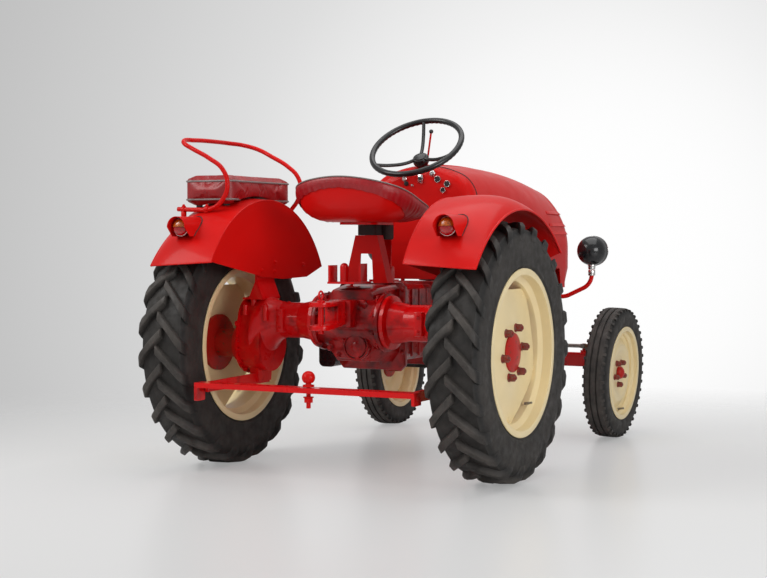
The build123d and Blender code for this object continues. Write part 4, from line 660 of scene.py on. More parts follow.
# Along one bar: offset and radius of its top, offset and radius of its foot, trail behind the nose, width
LUG_STATIONS = ((-0.011, 0.5046, -0.015, 0.470, 0.0, 0.034),
                (0.045, 0.5036, 0.045, 0.470, 0.055, 0.034),
                (0.084, 0.4995, 0.080, 0.466, 0.100, 0.038),
                (0.1015, 0.486, 0.090, 0.458, 0.123, 0.043),
                (0.1058, 0.458, 0.093, 0.446, 0.136, 0.045),
                (0.1052, 0.432, 0.097, 0.428, 0.143, 0.040))
LUG_FLARE = 0.007
# The least radius of a bar's rounded edges, at its shoulder and somewhere along them
LUG_SHOULDER = 0.431
LUG_CROWN = 0.48


def both_halves(outline):
    """A closed section from the points of its outer half."""
    return outline + tuple((-out, radius) for out, radius in reversed(outline))


def tread_bar(rounding):
    """One rear tread bar, with its nose at the front of the wheel's circle."""
    bar = bmesh.new()
    rings = []
    for top_out, top_radius, foot_out, foot_radius, trail, width in LUG_STATIONS:
        turn = -trail / LUG_STATIONS[0][1]
        out = ray(turn)
        along = Vector((-sin(turn), cos(turn), 0))
        lift, foot = Vector((0, 0, top_out)), Vector((0, 0, foot_out))
        half, flared = width / 2, width / 2 + LUG_FLARE
        rings.append([out * foot_radius - along * flared + foot, out * top_radius - along * half + lift,
                      out * top_radius + along * half + lift, out * foot_radius + along * flared + foot])
    loft(bar, rings)
    upper = [edge for edge in bar.edges
             if all(hypot(*vert.co.xy) > LUG_SHOULDER + 0.3 * (0.106 - abs(vert.co.z)) for vert in edge.verts)
             and any(hypot(*vert.co.xy) > LUG_CROWN for vert in edge.verts)]
    return rounded(bar, upper, rounding)


def repeat_round(bm, part, count, start=0.0):
    """Adds a shape so many times round the axle."""
    mesh = as_mesh("repeated", outward(part))
    for turn in turns(count, start):
        before = len(bm.verts)
        bm.from_mesh(mesh)
        bm.verts.ensure_lookup_table()
        bmesh.ops.rotate(bm, cent=(0, 0, 0), matrix=Matrix.Rotation(turn, 3, "Z"), verts=bm.verts[before:])
    bpy.data.meshes.remove(mesh)
    return bm


def tyre_piece(end, side, name, bm, angle):
    """A moulded tyre on its wheel."""
    placed(bm, wheel_place(JOINTS[f"{end}_axle_left"]))
    sided(side, bm)
    mesh = as_mesh(f"{end}_tread_{name}", outward(bm))
    smooth(mesh, angle)
    return link_piece(mesh.name, mesh, f"{end}_rubber", f"{end}_wheel_{name}")


class TRACTOR_OT_paint(bpy.types.Operator):
    """Gives every piece of the frame its finish"""
    bl_idname = "tractor.paint"
    bl_label = "Paint the frame"

    def execute(self, context):
        for key, nodes in NODE_FINISHES.items():
            for node in nodes:
                mesh = frame["nodes"][node].data
                mesh.materials.clear()
                mesh.materials.append(finish(key))
        return {"FINISHED"}


class TRACTOR_OT_rear_tyres(bpy.types.Operator):
    """Moulds the rear tyres with their slanting tread bars"""
    bl_idname = "tractor.rear_tyres"
    bl_label = "Rear tyres"

    def execute(self, context):
        tyres = context.scene.tractor_tyres
        for side, name in SIDES:
            bm = lathe(both_halves(REAR_WALL), steps=138)
            repeat_round(bm, tread_bar(tyres.lug_round), tyres.lugs)
            other = tread_bar(tyres.lug_round)
            bmesh.ops.scale(other, vec=(1, 1, -1), verts=other.verts[:])
            repeat_round(bm, other, tyres.lugs, pi / tyres.lugs)
            tyre = tyre_piece("rear", side, name, bm, 40)
            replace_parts(tyre, f"rear_tyre_{name}")
        return {"FINISHED"}


FRONT_RADIUS = 0.307
FRONT_TREAD = 0.042
FRONT_WALL = ((0.0497, 0.2033), (0.0497, 0.221), (0.053, 0.226), (0.0555, 0.24), (0.056, 0.262),
              (0.0525, 0.283), (0.046, 0.296))


class TRACTOR_OT_front_tyres(bpy.types.Operator):
    """Moulds the ribbed front tyres with their toothed shoulders"""
    bl_idname = "tractor.front_tyres"
    bl_label = "Front tyres"

    def execute(self, context):
        tyres = context.scene.tractor_tyres
        deep = tyres.groove_deep
        crown = ((FRONT_TREAD - 0.001, FRONT_RADIUS - 0.007), (FRONT_TREAD - 0.004, FRONT_RADIUS - 0.001),
                 (0.019, FRONT_RADIUS), (0.017, FRONT_RADIUS - deep), (0.012, FRONT_RADIUS - deep),
                 (0.010, FRONT_RADIUS))
        for side, name in SIDES:
            bm = lathe(both_halves(FRONT_WALL + crown), steps=120)
            for way in (1, -1):
                tooth = bmesh.new()
                block(tooth, (FRONT_RADIUS - 0.026, -0.0075, way * 0.036),
                      (FRONT_RADIUS - 0.0025, 0.0075, way * 0.0535), 0.002, 1)
                lean = Matrix.Rotation(-way * radians(14), 4, "Y")
                pivot = Matrix.Translation((FRONT_RADIUS - 0.004, 0, way * 0.042))
                placed(tooth, pivot @ lean @ pivot.inverted())
                repeat_round(bm, tooth, tyres.blocks, (way + 1) * pi / tyres.blocks / 2)
            tyre = tyre_piece("front", side, name, bm, 36)
            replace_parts(tyre, f"front_tyre_{name}")
        return {"FINISHED"}


REAR_RIM = ((0.095, 0.325), (0.095, 0.305), (0.057, 0.305), (0.045, 0.282), (-0.045, 0.282), (-0.057, 0.305),
            (-0.095, 0.305), (-0.095, 0.325), (-0.1005, 0.325), (-0.1005, 0.299), (-0.061, 0.299),
            (-0.049, 0.276), (0.049, 0.276), (0.061, 0.299), (0.1005, 0.299), (0.1005, 0.325))
REAR_DISC = ((0.050, 0.0), (0.050, 0.128), (0.047, 0.140), (0.0375, 0.236), (0.0375, 0.248), (0.033, 0.2775),
             (0.026, 0.2775), (0.0295, 0.248), (0.0295, 0.236), (0.039, 0.140), (0.042, 0.128), (0.042, 0.0))
DISC_WINDOWS = 5
WINDOW_APOTHEM = 0.242
REAR_STUD_CIRCLE = 0.100
REAR_STUDS = 6
REAR_STUD_TURN = 10.0


# Each layer of a wheel nut: height, radius, thickness, sides, radius of its top, rounding
REAR_NUT = ((0.0495, 0.0175, 0.006, 24, 0.0155, 0.001), (0.055, 0.0150, 0.0225, 6, 0.0142, 0.0024),
            (0.077, 0.0075, 0.005, 14, 0.0075, 0.0015))


def windowed_disc(points, windows, apothem, start):
    """A dished disc with flats cut where its windows stand open."""
    disc = merged(lathe(points, steps=160), 0.00002)
    for turn in turns(windows, start):
        found = trimmed(disc, ray(turn) * apothem, ray(turn))
        edges = [item for item in found if isinstance(item, bmesh.types.BMEdge)]
        bmesh.ops.edgeloop_fill(disc, edges=edges)
    return disc


def wheel_nuts(layers, count, circle, start):
    """A ring of nuts on their studs, in the wheel's own frame."""
    studs = bmesh.new()
    for turn in turns(count, start):
        for height, radius, thick, sides, top, rounding in layers:
            drum(studs, ray(turn) * circle + UP * height, UP, radius, thick, sides, top, rounding)
    return studs


def rim_piece(end, side, name, rim, studs, valve):
    """A rim on its wheel, with its nuts and its valve."""
    body = f"{end}_wheel_{name}"
    for part in (rim, studs, valve):
        placed(part, wheel_place(JOINTS[f"{end}_axle_left"]))
        sided(side, part)
    piece = add_piece(f"{end}_rim_rolled_{name}", rim, "cream", body=body)
    add_piece(f"{end}_wheel_nuts_{name}", studs, "rust", body=body)
    add_piece(f"{end}_valve_{name}", valve, "steel", body=body)
    return piece


class TRACTOR_OT_rear_rims(bpy.types.Operator):
    """Rolls the rear rims and presses their windowed discs, with nuts and valves"""
    bl_idname = "tractor.rear_rims"
    bl_label = "Rear rims"

    def execute(self, context):
        for side, name in SIDES:
            bm = lathe(REAR_RIM, steps=160, rounding=0.0022)
            join(bm, windowed_disc(REAR_DISC, DISC_WINDOWS, WINDOW_APOTHEM, radians(-90)))
            for turn in turns(DISC_WINDOWS, radians(-90 + 36)):
                drum(bm, ray(turn) * 0.262 + UP * 0.034, UP, 0.009, 0.004, rounding=0.0015)
            studs = wheel_nuts(REAR_NUT, REAR_STUDS, REAR_STUD_CIRCLE, side * radians(REAR_STUD_TURN))
            valve, lean = bmesh.new(), (-0.15, -0.2, 1)
            drum(valve, (0.155, 0.213, 0.040), lean, 0.0055, 0.022, steps=14, rounding=0.001)
            drum(valve, (0.1517, 0.2086, 0.062), lean, 0.0042, 0.012, steps=12, rounding=0.0008)
            rim = rim_piece("rear", side, name, bm, studs, valve)
            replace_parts(rim, f"rear_rim_{name}")
        return {"FINISHED"}


FRONT_RIM = ((0.050, 0.220), (0.050, 0.203), (0.032, 0.203), (0.024, 0.190), (-0.024, 0.190), (-0.032, 0.203),
             (-0.050, 0.203), (-0.050, 0.220), (-0.0545, 0.220), (-0.0545, 0.1985), (-0.035, 0.1985),
             (-0.027, 0.1855), (0.027, 0.1855), (0.035, 0.1985), (0.0545, 0.1985), (0.0545, 0.220))
FRONT_DISC = ((0.022, 0.0), (0.022, 0.084), (0.034, 0.108), (0.034, 0.134), (0.014, 0.166), (0.020, 0.1865),
              (0.015, 0.1865), (0.009, 0.166), (0.029, 0.134), (0.029, 0.108), (0.017, 0.084), (0.017, 0.0))
FRONT_STUD_CIRCLE = 0.056
FRONT_STUDS = 5
FRONT_STUD_TURN = 54.0
FRONT_NUT = ((0.0215, 0.0145, 0.006, 24, 0.0130, 0.001), (0.027, 0.0123, 0.018, 6, 0.0116, 0.002),
             (0.044, 0.006, 0.004, 12, 0.006, 0.001))


class TRACTOR_OT_front_rims(bpy.types.Operator):
    """Rolls the front rims with their embossed discs, nuts and valves"""
    bl_idname = "tractor.front_rims"
    bl_label = "Front rims"

    def execute(self, context):
        for side, name in SIDES:
            bm = join(lathe(FRONT_RIM, steps=128, rounding=0.0018),
                      lathe(FRONT_DISC, steps=128, rounding=0.0035))
            studs = wheel_nuts(FRONT_NUT, FRONT_STUDS, FRONT_STUD_CIRCLE, side * radians(FRONT_STUD_TURN))
            valve = drum(bmesh.new(), (0.03, 0.178, 0.012), (0, -0.2, 1), 0.0048, 0.036, steps=14,
                         rounding=0.001)
            rim = rim_piece("front", side, name, bm, studs, valve)
            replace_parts(rim, f"front_rim_{name}")
        return {"FINISHED"}


# The driver's seat: how the bowl widens with height, as (share of full size, share of height)
SEAT_X = -0.700
SEAT_FLOOR = 1.008
SEAT_HALF_LONG = 0.221
SEAT_HALF_WIDE = 0.251
SEAT_REAR_RIM = 1.183
SEAT_FRONT_RIM = 1.050
BOWL = ((0.0, 0.0), (0.30, 0.0), (0.52, 0.015), (0.66, 0.065), (0.78, 0.17), (0.865, 0.31), (0.925, 0.48),
        (0.965, 0.68), (0.988, 0.86), (1.0, 1.0))
SEAT_STEPS = 200


def seat_rim_height(x):
    """The seat's rim, highest at the rear and falling in an easy line to the front."""
    share = (x - (SEAT_X - SEAT_HALF_LONG - 0.004)) / (2 * SEAT_HALF_LONG)
    share = max(0.0, min(1.0, share))
    return SEAT_FRONT_RIM + (SEAT_REAR_RIM - SEAT_FRONT_RIM) * (1 - share) ** 1.6


def bowl_reach(share):
    """How wide the bowl is, as a share of its rim, at a share of its height."""
    for (reach, low), (wide, high) in zip(BOWL[1:], BOWL[2:]):
        if share <= high:
            return reach + (wide - reach) * (share - low) / (high - low)
    return 1.0


def seat_point(turn, reach, z):
    """A point of the seat at a turn about its middle, so far out as a share of its oval."""
    square = (abs(cos(turn)) ** 2.9 + abs(sin(turn)) ** 2.9) ** (-1 / 2.9)
    return Vector((SEAT_X + cos(turn) * square * reach * SEAT_HALF_LONG,
                   sin(turn) * square * reach * SEAT_HALF_WIDE, z))


def seat_shell(profile):
    """A bowl turned about Z from (share out, share up) points, to be drawn to the seat's oval and rim."""
    bm = bmesh.new()
    verts = [bm.verts.new((reach, 0, share)) for reach, share in profile]
    edges = [bm.edges.new(pair) for pair in zip(verts, verts[1:])]
    return spun(bm, verts + edges, SEAT_STEPS)


def pleat(turn, pleats):
    """Uneven gathers round a hem, from -1 to 1."""
    wander = noise.noise(Vector((cos(turn) * 2.2, sin(turn) * 2.2, 3.7))) * 2.4
    strong = 0.5 + 0.9 * abs(noise.noise(Vector((cos(turn) * 5.0, sin(turn) * 5.0, 9.1))))
    wave = sin(turn * pleats + wander * 3.0)
    return (abs(wave) ** 0.7 * (1 if wave > 0 else -1)) * strong


def hem_drop(x):
    """How far the cover's hem hangs below the rim: least at the rear."""
    share = max(0.0, min(1.0, (x - (SEAT_X - SEAT_HALF_LONG)) / 0.22))
    return 0.034 + 0.044 * share


class TRACTOR_OT_seat(bpy.types.Operator):
    """Presses the driver's seat pan and pulls a gathered cover over its rim"""
    bl_idname = "tractor.seat"
    bl_label = "Driver's seat"

    def execute(self, context):
        pan = seat_shell(BOWL)
        for vert in pan.verts:
            turn, reach = atan2(vert.co.y, vert.co.x), hypot(vert.co.x, vert.co.y)
            rim = seat_rim_height(SEAT_X + cos(turn) * SEAT_HALF_LONG)
            vert.co = seat_point(turn, reach, SEAT_FLOOR + vert.co.z * (rim - SEAT_FLOOR))
        sheet_of(pan, 0.003)
        pan_piece = add_piece("seat_pan_pressed", pan, "enamel", 60)
        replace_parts(pan_piece, "seat_pan")
        cover = self.cover(context.scene.tractor_trim.pleats)
        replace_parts(cover, "seat_cover")
        spring = block(bmesh.new(), (-0.598, -0.056, 0.938), (-0.520, 0.046, 1.004), 0.008)
        add_piece("seat_spring_block", spring, "buffer")
        # Grey piping round the seat's rim: partly the cover's piping, partly a painted highlight along the
        # rim's top edge
        welt = [seat_point(turn, 1.012, seat_rim_height(SEAT_X + cos(turn) * SEAT_HALF_LONG) + 0.0065)
                for turn in turns(72)]
        add_piece("seat_welt_and_highlight", tube_mesh("welt", welt, 0.0028, cyclic=True, steps=3, resolution=4),
                  "piping", 60)
        return {"FINISHED"}

    def cover(self, pleats):
        """Padded inside, rolled over the rim and drawn in under it by its gathered hem."""
        inside = ((0.0, -0.80), (0.30, -0.81), (0.55, -0.78), (0.70, -0.70), (0.80, -0.55), (0.865, -0.34),
                  (0.905, -0.14), (0.935, 0.0))
        roll = ((0.96, 0.06), (0.99, 0.075), (1.013, 0.05))
        skirt = tuple((1.0, -depth / 8) for depth in range(1, 10))
        rows = inside + roll + skirt
        bm = seat_shell(tuple((0.01 * number, 0) for number in range(len(rows))))
        for vert in bm.verts:
            row = round(hypot(vert.co.x, vert.co.y) / 0.01)
            turn = atan2(vert.co.y, vert.co.x)
            reach, lift = rows[row]
            edge_x = SEAT_X + cos(turn) * SEAT_HALF_LONG
            rim = seat_rim_height(edge_x)
            depth = rim - SEAT_FLOOR
            if row < len(inside):
                place = seat_point(turn, reach, rim + lift * depth * 0.92)
                place.z += 0.0025 * noise.noise(Vector((place.x * 9, place.y * 9, 0.0)))
            elif row < len(inside + roll):
                place = seat_point(turn, reach, rim + lift * 0.09)
            else:
                hang = -lift * min(hem_drop(edge_x), depth * 0.86)
                share = max(0.05, (depth - hang) / depth)
                gather = min(1.0, -lift * 1.5)
                fold = pleat(turn, pleats) * gather
                tuck = 0.010 * (1 - abs(2 * -lift - 1)) if lift > -1 else -0.004
                place = seat_point(turn, bowl_reach(share) + 0.024 + 0.022 * fold * 0.5 + tuck, rim - hang)
                place.z += 0.0028 * gather * pleat(turn + 0.4, pleats * 0.5)
            vert.co = place
        sheet_of(bm, 0.0018)
        cover = add_piece("seat_cover_gathered", bm, "cover", 80)
        rounder = cover.modifiers.new("Subdivision", "SUBSURF")
        rounder.levels = rounder.render_levels = 1
        return cover


# The fenders' arcs about their own centres, x z radius, from the inner plate to the outer edge
FENDER_IN_Y = 0.416
FENDER_OUT_Y = 0.704
FENDER_IN_ARC = (-0.744, 0.599, 0.503)
FENDER_OUT_ARC = (-0.711, 0.4555, 0.6014)
FENDER_REAR_Z = (0.852, 0.835)
FENDER_FRONT_X = -0.292
FENDER_ROLL = 6.0
FENDER_CROWN = 0.010
FENDER_SHEET = 0.0025
# The lower edge of the fender's inner plate, from the front corner to the rear one
PLATE_EDGE = ((-0.4255, 0.777), (-0.629, 0.772), (-0.799, 0.784), (-0.829, 0.791))


def fender_share(y):
    return max(0.0, min(1.0, (y - FENDER_IN_Y) / (FENDER_OUT_Y - FENDER_IN_Y)))


def fender_arc(y):
    """Centre and radius of the fender's skin at a distance from the middle of the machine."""
    share = fender_share(y)
    fall = share ** FENDER_ROLL
    x, z, radius = [inner + (outer - inner) * fall for inner, outer in zip(FENDER_IN_ARC, FENDER_OUT_ARC)]
    return x, z, radius + FENDER_CROWN * 4 * share * (1 - share)


def fender_top(x, y):
    """Height of the fender's skin over a point."""
    centre_x, centre_z, radius = fender_arc(abs(y))
    return centre_z + sqrt(max(0.0, radius ** 2 - (x - centre_x) ** 2))


def fender_point(y, share, grow=0.0):
    """A point of the fender's skin, a share of the way from its rear edge to its front edge."""
    x, z, radius = fender_arc(y)
    rear_z = FENDER_REAR_Z[0] + (FENDER_REAR_Z[1] - FENDER_REAR_Z[0]) * fender_share(y)
    first = pi - asin((rear_z - z) / radius)
    last = acos((FENDER_FRONT_X - x) / radius)
    turn = first + (last - first) * share
    return Vector((x + cos(turn) * (radius + grow), y, z + sin(turn) * (radius + grow)))


class TRACTOR_OT_fenders(bpy.types.Operator):
    """Rolls the fenders over their inner plates and bolts them to their brackets"""
    bl_idname = "tractor.fenders"
    bl_label = "Fenders"

    def execute(self, context):
        for side, name in SIDES:
            skin = bmesh.new()
            bmesh.ops.create_grid(skin, x_segments=96, y_segments=26, size=0.5)
            wide = FENDER_OUT_Y - FENDER_IN_Y
            for vert in skin.verts:
                across = 1 - (0.5 - vert.co.y) ** 1.6
                vert.co = fender_point(FENDER_IN_Y + across * wide, vert.co.x + 0.5)
            sheet_of(skin, FENDER_SHEET)
            outline = [fender_point(FENDER_IN_Y, number / 96, -0.0003) for number in range(97)]
            outline += [Vector((x, FENDER_IN_Y, z)) for x, z in PLATE_EDGE]
            behind = [point + Vector((0, FENDER_SHEET, 0)) for point in outline]
            join(skin, loft(bmesh.new(), [outline, behind]))
            fold = [fender_point(FENDER_IN_Y + 0.0016, number / 40, -0.0012) for number in range(41)]
            rim = [fender_point(FENDER_OUT_Y - 0.0005, number / 40, -0.003) for number in range(41)]
            hem = [fender_point(FENDER_IN_Y + wide * number / 20, 0.0, -0.002) for number in range(21)]
            for line, radius in ((fold, 0.0030), (rim, 0.0044), (hem, 0.0032)):
                join(skin, tube_mesh("bead", line, radius, resolution=3))
            for x, z in ((-0.700, 0.806), (-0.800, 0.812), (-0.695, 0.842), (-0.46, 0.832)):
                bolt(skin, (x, FENDER_IN_Y, z), (0, -1, 0), 0.014)
            sided(side, skin)
            piece = add_piece(f"fender_rolled_{name}", skin, "enamel", 40)
            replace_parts(piece, f"fender_{name}")
        return {"FINISHED"}


RAIL_RADIUS = 0.0093
# The hand rail's line: from its rear foot up and over the cushion, and down to its front foot
RAIL_ROUTE = ((-0.990, 0.700, 1.063), (-0.990, 0.610, 1.060), (-0.990, 0.540, 1.063), (-0.990, 0.487, 1.096),
              (-0.990, 0.461, 1.160), (-0.990, 0.484, 1.222), (-0.990, 0.545, 1.266), (-0.990, 0.630, 1.309),
              (-0.986, 0.670, 1.330), (-0.958, 0.690, 1.344), (-0.870, 0.700, 1.351), (-0.720, 0.704, 1.3545),
              (-0.580, 0.704, 1.3535), (-0.512, 0.684, 1.349), (-0.484, 0.630, 1.332), (-0.480, 0.555, 1.296),
              (-0.478, 0.480, 1.254), (-0.476, 0.430, 1.206), (-0.476, 0.417, 1.155), (-0.478, 0.431, 1.106),
              (-0.484, 0.456, 1.070), (-0.492, 0.470, 1.046))


class TRACTOR_OT_hand_rail(bpy.types.Operator):
    """Bends the passenger's hand rail and clips it to the fender"""
    bl_idname = "tractor.hand_rail"
    bl_label = "Hand rail"

    def execute(self, context):
        rail = tube_mesh("rail", [Vector(point) for point in RAIL_ROUTE], RAIL_RADIUS, steps=6, resolution=12)
        for y in (0.560, 0.672):
            foot = fender_top(-0.990, y) - 0.001
            centre = Vector((-0.990, y, 1.0615))
            drum(rail, centre + Vector((0, -0.008, 0)), (0, 1, 0), RAIL_RADIUS + 0.0032, 0.016, steps=28,
                 rounding=0.001)
            block(rail, (-0.999, y - 0.008, foot), (-0.981, y + 0.008, 1.056), 0.001, 1)
            bolt(rail, (-0.990, y, 1.0735), UP, 0.012)
        drum(rail, (-0.492, 0.470, 1.034), (0.1, -0.2, 1), 0.014, 0.020, steps=24, rounding=0.002)
        piece = add_piece("hand_rail_bent", rail, "enamel", 50)
        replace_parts(piece, "hand_rail")
        return {"FINISHED"}


CUSHION_FRONT_X = -0.478
CUSHION_GAP = 0.010


class TRACTOR_OT_cushion(bpy.types.Operator):
    """Fills the fender cushion, shapes it over the fender and sews its piping"""
    bl_idname = "tractor.cushion"
    bl_label = "Fender cushion"

    def execute(self, context):
        low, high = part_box("fender_cushion")
        high.x = CUSHION_FRONT_X
        high.z += 0.010
        inset = 0.002
        bm = bmesh.new()
        size = high - low - Vector((2 * inset, 2 * inset, 0.016))
        middle = (low + high) / 2
        middle.z -= 0.002
        bmesh.ops.create_cube(bm, size=1.0, matrix=Matrix.Translation(middle) @ Matrix.Diagonal((*size, 1.0)))
        upright = [edge for edge in bm.edges if abs(edge.verts[0].co.z - edge.verts[1].co.z) > 0.01]
        rounded(bm, upright, 0.026, 5)
        level = [edge for edge in bm.edges if abs(edge.verts[0].co.z - edge.verts[1].co.z) < 0.001]
        rounded(bm, level, 0.007)
        mesh = close_mesh("fender_cushion_sewn", bm, 60)
        cushion = link_piece("fender_cushion_sewn", mesh, "vinyl", "chassis")
        self.fill(cushion, context.scene.tractor_trim.swell)
        for vert in cushion.data.vertices:
            skin = fender_top(vert.co.x, vert.co.y) + CUSHION_GAP
            if vert.co.z < skin:
                vert.co.z = skin
        smooth(cushion.data, 60)
        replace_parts(cushion, "fender_cushion")
        self.sew(cushion, low, high, context.scene.tractor_trim.piping)
        self.supports(low, high)
        return {"FINISHED"}

    def fill(self, cushion, cap):
        """Swells the cushion's cloth under its filling, each point no further than the cap."""
        bpy.context.view_layer.objects.active = cushion
        cushion.data.remesh_voxel_size = 0.006
        cushion.select_set(True)
        bpy.ops.object.voxel_remesh()
        rest = [vert.co.copy() for vert in cushion.data.vertices]
        cloth = cushion.modifiers.new("Cloth", "CLOTH")
        cloth.settings.use_pressure = True
        cloth.settings.uniform_pressure_force = 4.0
        cloth.settings.effector_weights.gravity = 0.0
        cloth.point_cache.frame_start, cloth.point_cache.frame_end = 1, 20
        scene = bpy.context.scene
        for number in range(1, 21):
            scene.frame_set(number)
        depsgraph = bpy.context.evaluated_depsgraph_get()
        swollen = cushion.evaluated_get(depsgraph).data
        moved = [vert.co.copy() for vert in swollen.vertices]
        cushion.modifiers.remove(cloth)
        scene.frame_set(1)
        for vert, start, end in zip(cushion.data.vertices, rest, moved):
            step = end - start
            if step.length > cap:
                step = step.normalized() * cap
            vert.co = start + step
        cushion.select_set(False)
        rounder = cushion.modifiers.new("Subdivision", "SUBSURF")
        rounder.levels = rounder.render_levels = 1

    def sew(self, cushion, low, high, radius):
        """Piping round the top and bottom edges, laid on the filled cushion."""
        depsgraph = bpy.context.evaluated_depsgraph_get()
        tree = BVHTree.FromObject(cushion, depsgraph)
        middle = (low + high) / 2
        bm = bmesh.new()
        for rise in (high.z - 0.021, low.z + 0.016):
            points = []
            for number in range(64):
                turn = 2 * pi * number / 64
                ray = Vector((cos(turn), sin(turn) * 0.62, 0)).normalized()
                start = Vector((middle.x, middle.y, rise)) + ray * 0.6
                hit = tree.ray_cast(start, -ray)[0]
                if hit is None:
                    raise RuntimeError("the cushion has no side at the height of its piping")
                spot = hit + ray * radius * 0.35
                spot.z = max(spot.z, fender_top(spot.x, spot.y) + CUSHION_GAP + 0.004)
                points.append(spot)
            join(bm, tube_mesh("piping", points, radius, cyclic=True, steps=4, resolution=4))
        add_piece("cushion_piping", bm, "piping", 60)

    def supports(self, low, high):
        """Short dark feet between the fender's falling skin and the cushion board."""
        bm = bmesh.new()
        for x, y in ((low.x + 0.05, low.y + 0.05), (low.x + 0.05, high.y - 0.05),
                     (high.x - 0.04, high.y - 0.05), (high.x - 0.04, low.y + 0.05)):
            foot = fender_top(x, y) - 0.001
            if low.z + 0.006 - foot > 0.004:
                drum(bm, (x, y, foot), UP, 0.013, low.z + 0.008 - foot, steps=18)
        add_piece("cushion_feet", bm, "buffer")


SPOKE_TURN = 11.0


class TRACTOR_OT_steering_wheel(bpy.types.Operator):
    """Moulds the steering wheel's rim, spokes and hub"""
    bl_idname = "tractor.steering_wheel"
    bl_label = "Steering wheel"

    def execute(self, context):
        joint = JOINTS["steering_wheel_turn"]
        radius, grip, dish = 0.2015, 0.0128, 0.058
        up = Vector(joint["axis"])
        ahead = (Vector((1, 0, 0)) - up * up.x).normalized()
        turned = Matrix((ahead, up.cross(ahead), up)).transposed().to_4x4()
        place = Matrix.Translation(joint["pos_m"]) @ turned
        ring = tuple((sin(turn) * grip, radius + cos(turn) * grip) for turn in turns(20))
        bm = lathe(ring, steps=180)
        for vert in bm.verts:
            turn = atan2(vert.co.y, vert.co.x)
            core = ray(turn) * radius
            swell = 0.0011 * cos(turn * 54) * max(0.0, -(vert.co - core).z / grip)
            vert.co += (vert.co - core).normalized() * swell
        spokes = bmesh.new()
        for turn in turns(3, radians(SPOKE_TURN)):
            across = ray(turn)
            points = [across * 0.02 + Vector((0, 0, -dish)), across * 0.07 + Vector((0, 0, -dish + 0.004)),
                      across * 0.14 + Vector((0, 0, -dish * 0.52)), across * (radius - 0.004)]
            join(spokes, tube_mesh("spoke", points, 0.0078, steps=5, resolution=8))
        hub = ((-dish - 0.040, 0.0), (-dish - 0.040, 0.024), (-dish - 0.022, 0.036), (-dish - 0.004, 0.0365),
               (-dish + 0.004, 0.032), (-dish + 0.006, 0.0))
        join(spokes, lathe(hub, steps=48))
        cap = ((-dish + 0.004, 0.0), (-dish + 0.004, 0.027), (-dish + 0.008, 0.0255), (-dish + 0.0105, 0.012),
               (-dish + 0.011, 0.0))
        button = lathe(cap, steps=40)
        for part in (bm, spokes, button):
            placed(part, place)
        wheel = add_piece("steering_rim_moulded", bm, "grip", 60, "steering_wheel_body")
        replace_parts(wheel, "steering_wheel")
        add_piece("steering_spokes", spokes, "grip", 40, "steering_wheel_body")
        add_piece("steering_cap", button, "grip", 40, "steering_wheel_body")
        return {"FINISHED"}


# Dials and switches on the dash face: y, z, radius, how far they stand out, kind
DIALS = ((-0.065, 1.226, 0.0135, 0.010, "cap"), (-0.091, 1.200, 0.0155, 0.007, "gauge"),
         (-0.137, 1.179, 0.0155, 0.008, "gauge"), (-0.118, 1.153, 0.0125, 0.010, "gauge"),
         (0.0695, 1.204, 0.0115, 0.010, "cap"), (0.061, 1.1835, 0.0105, 0.008, "knob"),
         (0.031, 1.176, 0.006, 0.010, "cap"))
# Where a cap's or knob's edge ends, its width half way out and at its tip
KNOB_SHARES = {"cap": (0.35, 0.8, 0.72), "knob": (0.4, 0.6, 0.5)}
LEVER_KNOB = (-0.112, -0.034, 1.412)
LEVER_FOOT = (-0.070, 0.008, 1.262)


class TRACTOR_OT_dash(bpy.types.Operator):
    """Fits the dash with its dials, switches, blank plate and hand throttle"""
    bl_idname = "tractor.dash"
    bl_label = "Dash"

    def execute(self, context):
        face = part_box("instruments")[1].x
        bezels, faces, switches = bmesh.new(), bmesh.new(), bmesh.new()
        for y, z, radius, out, kind in DIALS:
            place = facing((face, y, z), (-1, 0, 0))
            if kind == "gauge":
                ring = ((0.0, radius * 0.8), (0.0, radius), (out, radius * 0.94), (out, radius * 0.8))
                glass = ((0.0, 0.0), (0.0, radius * 0.8), (out * 0.7, radius * 0.8), (out * 0.75, 0.0))
                join(faces, placed(lathe(glass, steps=32), place))
            else:
                edge, waist, tip = KNOB_SHARES[kind]
                ring = ((0.0, 0.0), (0.0, radius), (out * edge, radius), (out * 0.5, radius * waist),
                        (out, radius * tip), (out, 0.0))
            if kind == "knob":
                join(switches, placed(lathe(ring, steps=32), place))
            else:
                join(bezels, placed(lathe(ring, steps=40, rounding=0.0006), place))
        block(bezels, (face - 0.0085, -0.022, 1.184), (face, 0.002, 1.2215), 0.002)
        drum(switches, (face - 0.0085, -0.010, 1.2045), (-1, 0, 0), 0.0065, 0.011, steps=24, rounding=0.001)
        drum(switches, (face - 0.0085, -0.010, 1.1905), (-1, 0, 0), 0.0035, 0.003, steps=16)
        bright = add_piece("dial_bezels", bezels, "chrome")
        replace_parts(bright, "instruments")
        add_piece("dial_faces", faces, "dial")
        add_piece("dash_switches", switches, "dial")
        plate = block(bmesh.new(), (face - 0.0025, -0.042, 0.945), (face - 0.0003, 0.010, 0.971), 0.0008, 1)
        for y in (-0.038, 0.006):
            for z in (0.949, 0.967):
                drum(plate, (face - 0.0022, y, z), (-1, 0, 0), 0.0016, 0.0012, steps=10)
        add_piece("blank_plate", plate, "plate")
        lever = tube_mesh("lever", [Vector(LEVER_FOOT), Vector(LEVER_KNOB)], 0.0042, steps=8, resolution=8)
        drum(lever, Vector(LEVER_FOOT) - UP * 0.012, UP, 0.012, 0.020, steps=24, rounding=0.002)
        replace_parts(add_piece("throttle_lever_bent", lever, "enamel"), "throttle_lever")
        knob = bmesh.new()
        bmesh.ops.create_uvsphere(knob, u_segments=28, v_segments=16, radius=0.0095,
                                  matrix=Matrix.Translation(LEVER_KNOB))
        add_piece("throttle_knob", knob, "grip", 60)
        return {"FINISHED"}


